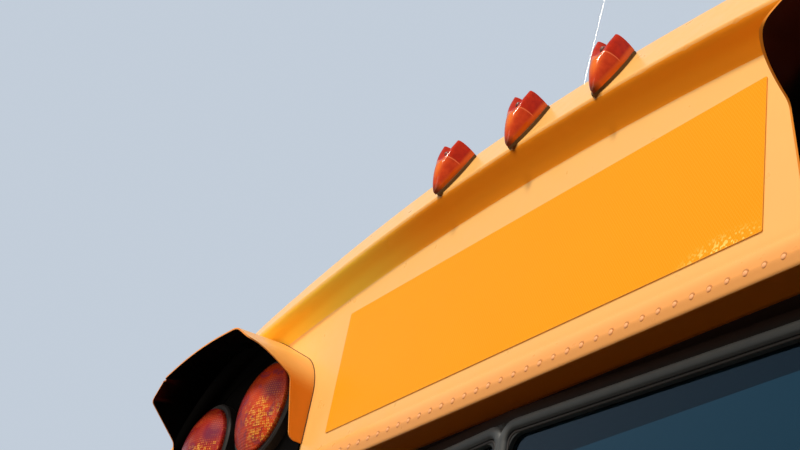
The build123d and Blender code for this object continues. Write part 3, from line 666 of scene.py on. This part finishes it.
def smooth(mesh, angle):
    """Shades smooth, but keeps edges sharper than the angle crisp."""
    shape = bmesh.new()
    shape.from_mesh(mesh)
    for f in shape.faces:
        f.smooth = True
    for e in shape.edges:
        e.smooth = e.calc_face_angle(0) < math.radians(angle)
    shape.to_mesh(mesh)
    shape.free()


def mesh_of(name, shape, *finishes):
    """The mesh of a bmesh, which it frees."""
    mesh = bpy.data.meshes.new(name)
    shape.to_mesh(mesh)
    shape.free()
    for finish in finishes:
        mesh.materials.append(finish)
    return mesh


def solid_piece(name, shape, finish, angle, node=None):
    """Turns a bmesh into a piece, which stands for a solid if one is named."""
    bmesh.ops.recalc_face_normals(shape, faces=shape.faces)
    mesh = mesh_of(name, shape, finish)
    smooth(mesh, angle)
    obj = piece(name, mesh)
    if node:
        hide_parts(node)


def oval(shape, centre, first, second, sides):
    """A ring of vertices round a centre; first and second are its half axes."""
    turns = [2 * math.pi * k / sides for k in range(sides)]
    return [shape.verts.new(centre + first * math.cos(t) + second * math.sin(t))
            for t in turns]


def bridge(shape, a, b):
    """Closes the wall between two rings of vertices."""
    for k in range(len(a)):
        m = (k + 1) % len(a)
        shape.faces.new((a[k], a[m], b[m], b[k]))


# %% [markdown]
# A lamp hood is folded from steel sheet and sprayed yellow outside and matt
# black inside, so that sunlight can't make a lamp look lit. The black stops at
# the sheet's edge, which stays yellow: it is the thin bright line round the
# opening. The solid has one finish, so a copy stands for it, whose faces are
# sorted by a short ray. A ray that leaves through the sheet in 3 mm started on
# one of its two sides, and any other face is an edge.

# %% Lamp hoods with a black inside
SHEET = 3 * MM
SLOT_X = (1.014, 1.025)
SLOT_Y = FACE_Y - 0.1052


def dressed_hood(side):
    node = "warning_hood_" + side
    shape = world_copy(node)
    bmesh.ops.remove_doubles(shape, verts=shape.verts, dist=0.01 * MM)
    bmesh.ops.triangulate(shape, faces=shape.faces)
    shape.normal_update()
    own = BVHTree.FromBMesh(shape)
    cap = tree_of("front_cap")
    low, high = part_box(node)
    middle = Vector(((low.x + high.x) / 2, 0, SIGN_Z))
    seam = []
    walls = {}
    for f in shape.faces:
        centre = f.calc_center_median()
        from_middle = centre - middle
        from_middle.y = 0
        hit = own.ray_cast(centre - f.normal * 0.05 * MM, -f.normal)
        is_side = (hit[0] is not None and hit[3] < SHEET * 1.25
                   and hit[1].dot(f.normal) < -0.9)
        is_inner = is_side and f.normal.dot(from_middle) < 0
        f.material_index = 1 if is_inner else 0
        if is_inner:
            key = tuple(round(v * 14) for v in f.normal)
            if f.calc_area() > walls.get(key, (0,))[0]:
                walls[key] = (f.calc_area(), centre.copy(), f.normal.copy())
        f.tag = is_side and not is_inner
    # the seam: edges on the cap that end an outer side
    on_cap = [cap.find_nearest(v.co)[3] < 0.8 * MM for v in shape.verts]
    for e in shape.edges:
        kinds = [f.tag for f in e.link_faces]
        if all(on_cap[v.index] for v in e.verts) and len(kinds) == 2 and kinds[0] != kinds[1]:
            seam.append((e.verts[0].co.copy(), e.verts[1].co.copy()))
    # weld has run into the drain slot in the rim, which leaves it 3 mm deep
    for v in shape.verts:
        if abs(v.co.y - SLOT_Y) < 0.3 * MM and SLOT_X[0] < abs(v.co.x) < SLOT_X[1]:
            v.co.y -= 6 * MM
    mesh = mesh_of("hood_dressed_" + side, shape, hood_yellow, black)
    smooth(mesh, 30)
    obj = piece("hood_dressed_" + side, mesh)
    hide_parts(node)
    return seam, [wall[1:] for wall in walls.values()]


hoods = {side: dressed_hood(side) for side in ("left", "right")}
print("hood seams, edges:", {s: len(v[0]) for s, v in hoods.items()})


# %% [markdown]
# The black goes on over everything that the hood covers, so it runs from the
# plate on to the brow's underside. That paint is a skin 1.2 mm over the cap:
# the cap's surface, cut by the plane of every inner face of the hood.

# %% Black paint on the cap inside the hoods
def paint_under_hood(side, walls):
    shape = world_copy("front_cap")
    low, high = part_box("warning_hood_" + side)
    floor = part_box("lamp_plate_" + side)[0].z
    cap = tree_of("front_cap")
    bmesh.ops.remove_doubles(shape, verts=shape.verts, dist=0.01 * MM)
    shape.normal_update()
    far = []
    for f in shape.faces:
        centre = f.calc_center_median()
        # an outer face sees past the cap straight ahead or, where it hangs over
        # the lamps, down to one side
        looks = [Vector((0, -1, 0))]
        if centre.y < FACE_Y - 5 * MM:
            looks += [Vector((0.6, -0.5, -0.62)), Vector((-0.6, -0.5, -0.62))]
        covered = all(cap.ray_cast(centre + f.normal * 1.0 * MM, look)[0] for look in looks)
        beside = (max(v.co.x for v in f.verts) < low.x
                  or min(v.co.x for v in f.verts) > high.x)
        if covered or beside or f.normal.y > 0.8:
            far.append(f)
    bmesh.ops.delete(shape, geom=far, context="FACES")
    cuts = [(centre - normal * 1.0 * MM, normal) for centre, normal in walls]
    cuts.append((Vector((0, 0, floor)), Vector((0, 0, 1))))
    for centre, normal in cuts:
        geometry = shape.verts[:] + shape.edges[:] + shape.faces[:]
        bmesh.ops.bisect_plane(shape, geom=geometry, plane_co=centre, plane_no=normal,
                               clear_inner=True)
    shape.normal_update()
    for v in shape.verts:
        v.co += v.normal * 1.2 * MM
    mesh = mesh_of("hood_paint_" + side, shape, matt)
    piece("hood_paint_" + side, mesh)
    return len(mesh.polygons)


for side, (seam, walls) in hoods.items():
    print("paint", side, "cuts", len(walls), "faces", paint_under_hood(side, walls))


# %% [markdown]
# A round bead, 2.6 mm wide, closes the seam where each hood meets the cap.
# Its dark brown is painted shade: it draws the thin shadow in the seam, which
# is why the hood looks drawn round with a thin dark line. The seam's edges come
# off the hood above; here they are chained into runs, and each run becomes a
# round bead.

# %% Seam beads of painted shade
def chains(pairs):
    """Joins loose edges, as pairs of points, into runs of points."""
    def key(p):
        return tuple(round(v, 5) for v in p)

    ends = {}
    for a, b in pairs:
        ends.setdefault(key(a), []).append((a, b))
        ends.setdefault(key(b), []).append((b, a))
    used = set()
    runs = []
    starts = [k for k, v in ends.items() if len(v) == 1] + list(ends)
    for start in starts:
        run = []
        at = start
        while True:
            onward = [(a, b) for a, b in ends[at]
                      if frozenset((key(a), key(b))) not in used]
            if not onward:
                break
            a, b = onward[0]
            used.add(frozenset((key(a), key(b))))
            if not run:
                run.append(a)
            run.append(b)
            at = key(b)
        if len(run) > 1:
            runs.append(run)
    return runs


def bead(shape, run, radius, sides=6):
    """A round bead along a run of points."""
    rings = []
    first = None
    for i, point in enumerate(run):
        ahead = run[min(i + 1, len(run) - 1)] - run[max(i - 1, 0)]
        if ahead.length < 1e-7:
            continue
        ahead.normalize()
        if first is None:
            first = ahead.orthogonal().normalized()
        else:
            first = (first - ahead * first.dot(ahead)).normalized()
        second = ahead.cross(first)
        rings.append(oval(shape, point, first * radius, second * radius, sides))
    for a, b in zip(rings, rings[1:]):
        bridge(shape, a, b)
    shape.faces.new(rings[0])
    shape.faces.new(rings[-1])


for side, (seam, walls) in hoods.items():
    runs = chains(seam)
    shape = bmesh.new()
    for run in runs:
        bead(shape, run, 1.3 * MM)
    solid_piece("hood_seam_shade_" + side, shape, seam_shade_rubber, 60)
    print("seam_shade_rubber", side, "runs", len(runs))

# %% [markdown]
# The windscreen's gasket is an extruded rubber section. Its outer lobe is a
# half-round bead, 19 mm wide, which takes a soft highlight along its length,
# and a filler strip is pressed into a groove between the bead and the glass to
# lock it. Both are beads on a rounded path round each pane, laid on the
# gasket. The pane's own plane and corners come off the glass.

# %% Gasket beads
def pane_path(side, margin, corner):
    """A rounded rectangle round the pane, margin out from the glass's edge."""
    shape = world_copy("windscreen_glass_" + side)
    flat = max(shape.faces, key=lambda f: f.calc_area() * (f.normal.y < 0))
    out = flat.normal.copy()
    level = Vector((0, 0, 1)).cross(out).normalized()
    up = out.cross(level)
    across = [v.co.dot(level) for v in shape.verts]
    height = [v.co.dot(up) for v in shape.verts]
    face_level = max(v.co.dot(out) for v in shape.verts)
    shape.free()
    rubber_tree = tree_of("windscreen_gasket_" + side)
    a0, a1 = min(across) - margin, max(across) + margin
    h0, h1 = min(height) - margin, max(height) + margin
    run = []
    corners = ((a1, h1, 0), (a0, h1, 90), (a0, h0, 180), (a1, h0, 270))
    for a, h, start in corners:
        ca = a - corner if a == a1 else a + corner
        ch = h - corner if h == h1 else h + corner
        for i in range(9):
            angle = math.radians(start + i * 11.25)
            flat_a = ca + corner * math.cos(angle)
            flat_h = ch + corner * math.sin(angle)
            start_point = level * flat_a + up * flat_h + out * (face_level + 0.2)
            hit = rubber_tree.ray_cast(start_point, -out)
            if hit[0] is not None and hit[3] < 0.25:
                run.append(hit[0])
    return run, out


def flat_bead(name, run, out, half_width, half_height, sides, finish):
    """A closed bead along a run, wide across the surface and low above it."""
    shape = bmesh.new()
    rings = []
    for i, point in enumerate(run):
        ahead = (run[(i + 1) % len(run)] - run[i - 1]).normalized()
        sideways = ahead.cross(out).normalized()
        rings.append(oval(shape, point, sideways * half_width, out * half_height, sides))
    for i, ring in enumerate(rings):
        bridge(shape, ring, rings[(i + 1) % len(rings)])
    solid_piece(name, shape, finish, 60)


for side in ("left", "right"):
    run, out = pane_path(side, 6 * MM, 24 * MM)
    flat_bead("gasket_lobe_" + side, run, out, 9.5 * MM, 6 * MM, 12, gasket)
    run, out = pane_path(side, -5.5 * MM, 15 * MM)
    flat_bead("gasket_strip_" + side, run, out, 2.2 * MM, 1.6 * MM, 8, bezel)
    print("gasket beads", side, "points", len(run))

# %% [markdown]
# A warning lens is a round drum with a domed front. Its side wall is fluted,
# which scatters light sideways, and the dome is smooth to the touch. The solid
# has a plain dome in three steps, so a turned piece with the true curve and
# fluted wall stands for it.

# %% Warning lenses
FLUTES = 60
WALL_FLUTE = 0.7 * MM
BULGE = 26 * MM
DOME_STEPS = 16


def turned_lens(node, finish):
    low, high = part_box(node)
    radius = (high.x - low.x) / 2
    centre = Vector(((low.x + high.x) / 2, high.y, (low.z + high.z) / 2))
    deep = high.y - low.y
    wall = deep - BULGE
    ball = (radius ** 2 + BULGE ** 2) / (2 * BULGE)
    profile = [(radius - 0.2 * MM, 0.0), (radius - 0.2 * MM, wall - 2 * MM)]
    for i in range(DOME_STEPS + 1):
        r = (radius - 1.5 * MM) * (1 - i / DOME_STEPS)
        out = wall + BULGE - ball + math.sqrt(ball ** 2 - r ** 2)
        profile.append((max(r, 0.0), min(out, deep)))
    shape = bmesh.new()
    marks = {n: shape.verts.layers.float.new(n) for n in ("u", "v")}
    rings = []
    count = 2 * FLUTES
    for level, (r, out) in enumerate(profile[:-1]):
        ring = []
        for k in range(count):
            angle = math.pi * k / FLUTES
            cut = WALL_FLUTE if level < 2 and k % 2 else 0.0
            ring.append(shape.verts.new(centre + Vector((
                math.cos(angle) * (r - cut), -out, math.sin(angle) * (r - cut)))))
        rings.append(ring)
    top = shape.verts.new(centre + Vector((0, -profile[-1][1], 0)))
    for a, b in zip(rings, rings[1:]):
        bridge(shape, a, b)
    for k in range(count):
        shape.faces.new((rings[-1][k], rings[-1][(k + 1) % count], top))
    shape.faces.new(rings[0])
    for vert in shape.verts:
        vert[marks["u"]] = (vert.co.x - centre.x) / radius
        vert[marks["v"]] = (vert.co.z - centre.z) / radius
    solid_piece(node + "_turned", shape, finish, 12, node)
    return radius


for side in ("left", "right"):
    turned_lens("amber_lamp_lens_" + side, amber_lens)
    size = turned_lens("red_lamp_lens_" + side, red_lens)
print("warning lenses, radius", round(size, 4), "flutes", FLUTES)

# %% [markdown]
# A marker lamp is a streamlined shell: a pointed toe, a crest that rises
# towards the heel, and at the heel a cut-off back. Two lobes stand either side
# of a hollow, where the screw that holds the lens sits. The shell is a height
# laid over the teardrop plan. It could be a subdivided box, but a height says
# directly what the mould maker's drawing says.

# %% Marker lamp lenses
CREST = 40 * MM
LIP = 5 * MM

def marker_frame(node):
    """The lamp's axes, up the slope, across and outward, and its limits on them."""
    shape = world_copy(node.replace("lens", "pad"))
    flat = max(shape.faces, key=lambda f: f.calc_area())
    out = flat.normal.copy()
    if out.y > 0:
        out.negate()
    side = Vector((1, 0, 0))
    side = (side - out * side.dot(out)).normalized()
    along = out.cross(side)
    if along.z < 0:
        along.negate()
    across = along.cross(out)
    points = [v.co.copy() for v in shape.verts]
    shape.free()
    width = [p.dot(across) for p in points]
    middle = (min(width) + max(width)) / 2
    toe = min(p.dot(along) for p in points)
    heel = max(p.dot(along) for p in points)
    seat = max(p.dot(out) for p in points)
    return along, across, out, toe, heel, middle, seat, (max(width) - min(width)) / 2


def shell_height(s, t):
    """Height of the shell at s from toe (0) to heel (1), t across (-1 to 1)."""
    crest = LIP + (CREST - LIP) * math.sin(min(s / 0.86, 1.0) * math.pi / 2) ** 0.85
    ramp = max(0.0, (s - 0.50) / 0.50)
    round_over = max(0.0, 1 - abs(t) ** (2.3 + 3.5 * ramp)) ** 0.62
    height = LIP + (crest - LIP) * round_over
    hollow = 20 * MM * ramp ** 0.9 * math.exp(-((t - 0.05) / 0.40) ** 2)
    lobe = 4 * MM * ramp * max(0.0, min((-t - 0.25) / 0.4, 1.0)) * round_over
    return height - hollow + lobe


def marker_shell(node):
    along, across, out, toe, heel, middle, seat, half = marker_frame(node)
    length = heel - toe - 1.5 * MM
    half -= 1.5 * MM
    start = across * middle + along * (toe + 1.5 * MM) + out * seat
    rows = 44
    columns = 32

    def width(s):
        nose = math.sin(min(s / 0.78, 1.0) * math.pi / 2) ** 0.72
        return max(half * nose, 0.6 * MM)

    shape = bmesh.new()
    marks = {n: shape.verts.layers.float.new(n) for n in ("along", "across", "rise")}
    grid = []

    def point(s, t, height):
        place = start + along * (s * length) + across * (t * width(s)) + out * height
        vert = shape.verts.new(place)
        vert[marks["along"]] = s
        vert[marks["across"]] = t
        vert[marks["rise"]] = height / CREST
        return vert

    for i in range(rows + 1):
        s = (i / rows) ** 1.15
        line = [point(s, -1.0, 0.0)]
        for j in range(columns + 1):
            t = math.sin((j / columns - 0.5) * math.pi)
            line.append(point(s, t, shell_height(s, t)))
        line.append(point(s, 1.0, 0.0))
        grid.append(line)
    for a, b in zip(grid, grid[1:]):
        for j in range(len(a) - 1):
            shape.faces.new((a[j], a[j + 1], b[j + 1], b[j]))
    shape.faces.new(grid[-1])
    shape.faces.new(grid[0])
    bottom = [line[0] for line in grid] + [line[-1] for line in reversed(grid)]
    shape.faces.new(bottom)
    solid_piece(node + "_shell", shape, marker_lens, 38, node)
    screw = (start + along * (0.76 * length) + across * (0.04 * half)
             + out * (shell_height(0.76, 0.0) + 3.0 * MM))
    return screw, out, along


marker_screws = [marker_shell("marker_lens_" + s) for s in ("left", "centre", "right")]
print("marker shells:", len(marker_screws))


# %% [markdown]
# Rivets. A bus body is riveted along every seam, and the lip under the sign
# shows a close row, 28 mm apart. The heads are low domes, 8 to 10 mm wide,
# painted with the body; on the lip they are painted paler and pinker than the
# lip round them, a painted highlight. Points are shot onto the solids, each with
# the surface's own direction, and Geometry Nodes sets one head on each point,
# slightly varied by a fixed seed, as hand riveting is. Set by hand, they would be
# nearly three hundred separate objects. A thin dark ring is painted against the
# upper side of each lip head, painted shade: it is a flat disc under the head,
# set a little higher.

# %% Points for the rivets
def shoot(tree, start, aim):
    """Where a line from start along aim meets the surface, and its direction."""
    hit = tree.ray_cast(Vector(start), Vector(aim))
    return (hit[0], hit[1]) if hit[0] is not None else None


LIP_PITCH = 28 * MM
LIP_ROW = SIGN_Z - 0.181
LIP_PROUD = 17 * MM       # the lip stands out from the face and from the sides
NEAR = 3 * MM
PITCH = 55 * MM           # along the other seams
EDGE = 20 * MM


def lip_points():
    """Along the riveted lip, across the front, except where the band covers it."""
    tree = tree_of("front_cap")
    found = []
    count = int(1.07 / LIP_PITCH)
    for i in range(-count, count + 1):
        hit = shoot(tree, (i * LIP_PITCH, -1.0, LIP_ROW), (0, 1, 0))
        if hit and abs(hit[0].y - (FACE_Y - LIP_PROUD)) < NEAR:
            found.append(hit)
    for side in (-1, 1):
        for i in range(13):
            hit = shoot(tree, (side * 1.5, REAR_Y - 0.185 - i * LIP_PITCH, LIP_ROW),
                        (-side, 0, 0))
            if hit and abs(abs(hit[0].x) - BODY_HALF - LIP_PROUD) < NEAR:
                found.append(hit)
    return found


def hoop_points(tree, y, pitch, low):
    """Over the roof from side to side at one depth."""
    found = []
    z = low
    while z < SIGN_Z - 0.25:
        for side in (-1, 1):
            found.append(shoot(tree, (side * 1.5, y, z), (-side, 0, 0)))
        z += pitch
    reach = 1.55
    count = int(math.pi * reach / pitch / 1.25)
    for i in range(count + 1):
        angle = math.pi * i / count
        start = Vector((math.cos(angle) * 1.6, y, SIGN_Z - 0.22 + math.sin(angle) * 1.0))
        aim = Vector((0, y, SIGN_Z - 0.22)) - start
        found.append(shoot(tree, start, aim.normalized()))
    return [f for f in found if f]


shell_tree = tree_of("front_cap", "roof_panel", "side_panel_left", "side_panel_right",
                     "corner_pillar_left", "corner_pillar_right")
seam_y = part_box("front_cap")[1].y
pillar_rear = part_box("corner_pillar_right")[1].y
lip_rivets = lip_points()
roof_rivets = hoop_points(shell_tree, seam_y - 12 * MM, PITCH, SIGN_Z - 0.13)
roof_rivets += hoop_points(shell_tree, REAR_Y - EDGE, PITCH, CAP_Z + 0.03)
side_rivets = []
for side in (-1, 1):
    spots = [(y, 0.03 + i * PITCH) for i in range(16)
             for y in (pillar_rear + 14 * MM, REAR_Y - EDGE)]
    spots += [(pillar_rear + 0.055 + i * 50 * MM, 0.03) for i in range(4)]
    for y, z in spots:
        side_rivets.append(shoot(shell_tree, (side * 1.5, y, z), (-side, 0, 0)))
side_rivets = [f for f in side_rivets if f]
print("rivets: lip", len(lip_rivets), "roof", len(roof_rivets), "sides", len(side_rivets))


# %% Rivet heads by Geometry Nodes
def head_group():
    """Sets one domed head on every vertex, turned along its 'out' attribute."""
    tree = bpy.data.node_groups.new("domed_heads", "GeometryNodeTree")
    face = tree.interface
    face.new_socket("Geometry", in_out="INPUT", socket_type="NodeSocketGeometry")
    for label, kind in (("Head Radius", "NodeSocketFloat"), ("Head Height", "NodeSocketFloat"),
                        ("Seed", "NodeSocketInt"), ("Finish", "NodeSocketMaterial")):
        face.new_socket(label, in_out="INPUT", socket_type=kind)
    face.new_socket("Geometry", in_out="OUTPUT", socket_type="NodeSocketGeometry")
    given = tree.nodes.new("NodeGroupInput")
    ball = add(tree, "GeometryNodeMeshUVSphere", Segments=12, Rings=6, Radius=1.0)
    size = add(tree, "ShaderNodeCombineXYZ", {
        "X": given.outputs["Head Radius"], "Y": given.outputs["Head Radius"],
        "Z": given.outputs["Head Height"]})
    head = add(tree, "GeometryNodeTransform", {
        "Geometry": ball.outputs["Mesh"], "Scale": size.outputs[0]})
    out = add(tree, "GeometryNodeInputNamedAttribute", data_type="FLOAT_VECTOR")
    out.inputs["Name"].default_value = "out"
    turn = add(tree, "FunctionNodeAlignRotationToVector", {
        "Vector": out.outputs["Attribute"]}, axis="Z")
    vary = add(tree, "FunctionNodeRandomValue", {"Seed": given.outputs["Seed"]},
               data_type="FLOAT")
    vary.inputs[2].default_value = 0.93
    vary.inputs[3].default_value = 1.05
    put = add(tree, "GeometryNodeInstanceOnPoints", {
        "Points": given.outputs["Geometry"], "Instance": head.outputs[0],
        "Rotation": turn.outputs[0], "Scale": vary.outputs[1]})
    real = add(tree, "GeometryNodeRealizeInstances", {"Geometry": put.outputs[0]})
    soft = add(tree, "GeometryNodeSetShadeSmooth", {"Geometry": real.outputs[0]})
    coat = add(tree, "GeometryNodeSetMaterial", {
        "Geometry": soft.outputs[0], "Material": given.outputs["Finish"]})
    last = tree.nodes.new("NodeGroupOutput")
    tree.links.new(coat.outputs[0], last.inputs["Geometry"])
    return tree


heads = head_group()


def set_heads(name, found, radius, height, finish, seed=1):
    """One piece with a head on each found point."""
    mesh = bpy.data.meshes.new(name + "_points")
    mesh.from_pydata([tuple(p) for p, n in found], [], [])
    store = mesh.attributes.new("out", "FLOAT_VECTOR", "POINT")
    for item, (p, n) in zip(store.data, found):
        item.vector = n
    obj = placed(name, mesh)
    nodes_modifier = obj.modifiers.new("heads", "NODES")
    nodes_modifier.node_group = heads
    values = {"Head Radius": radius, "Head Height": height, "Seed": seed, "Finish": finish}
    for item in heads.interface.items_tree:
        if item.item_type == "SOCKET" and item.in_out == "INPUT" and item.name in values:
            nodes_modifier[item.identifier] = values[item.name]
    depsgraph = bpy.context.evaluated_depsgraph_get()
    made = bpy.data.meshes.new_from_object(obj.evaluated_get(depsgraph))
    obj.modifiers.clear()
    obj.data = made
    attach(obj, "body")
    print(name, "heads", len(found), "faces", len(made.polygons))
    return obj


# the lip's heads are painted paler and pinker than the lip: a painted highlight
rivet_highlight_paint = plain_enamel("rivet_highlight_enamel", "#F3AC72", "#F6B37C", 0.5, 0.05, 0.3)
# a dark ring above each lip head: painted shade
rivet_shade_ring = rubber("rivet_shade_ring", "#BC7C46", "#CB8B52", 0.8)
shade_ring_points = [(p - n * 0.1 * MM + Vector((0.3 * MM, 0, 1.9 * MM)), n) for p, n in lip_rivets]
set_heads("lip_rivet_shade_ring", shade_ring_points, 4.7 * MM, 0.35 * MM, rivet_shade_ring, 3)
set_heads("lip_rivets", lip_rivets, 4.0 * MM, 1.4 * MM, rivet_highlight_paint, 3)
set_heads("roof_rivets", roof_rivets, 4.8 * MM, 1.4 * MM, yellow, 5)
set_heads("side_rivets", side_rivets, 4.8 * MM, 1.4 * MM, yellow, 7)

# %% [markdown]
# The aerial's whip is a sprung steel wire, ground to a taper: 1.2 mm at the
# ferrule and 0.7 mm at the tip. Against the sky it is a hair's width. The solid
# is one even rod, so a turned wire on the same line stands for it.

# %% Tapered whip
def tapered_whip():
    low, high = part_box("aerial_whip")
    solid = world_copy("aerial_whip")
    top = [v.co.copy() for v in solid.verts if v.co.z > high.z - 2 * MM]
    foot = [v.co.copy() for v in solid.verts if v.co.z < low.z + 2 * MM]
    solid.free()
    start = sum(foot, Vector()) / len(foot)
    end = sum(top, Vector()) / len(top)
    start.z = low.z
    end.z = high.z - 0.5 * MM
    shape = bmesh.new()
    rings = []
    for i in range(9):
        radius = (0.6 - 0.25 * i / 8) * MM
        rings.append(oval(shape, start.lerp(end, i / 8), Vector((radius, 0, 0)),
                          Vector((0, radius, 0)), 10))
    for a, b in zip(rings, rings[1:]):
        bridge(shape, a, b)
    shape.faces.new(rings[0])
    shape.faces.new(rings[-1])
    solid_piece("whip_tapered", shape, steel, 60, "aerial_whip")
    print("whip length", round((end - start).length, 3))


tapered_whip()

# %% [markdown]
# Screws: a dark pan head in the hollow of each marker lamp.

# %% Screws of the marker lamps
screw_points = [(place, (out * 0.8 - along * 0.6).normalized())
                for place, out, along in marker_screws]
screw_paint = plain_enamel("screw_zinc", "#5A2412", "#7A3418", 0.3)
set_heads("marker_screws", screw_points, 5.2 * MM, 4.4 * MM, screw_paint, 2)
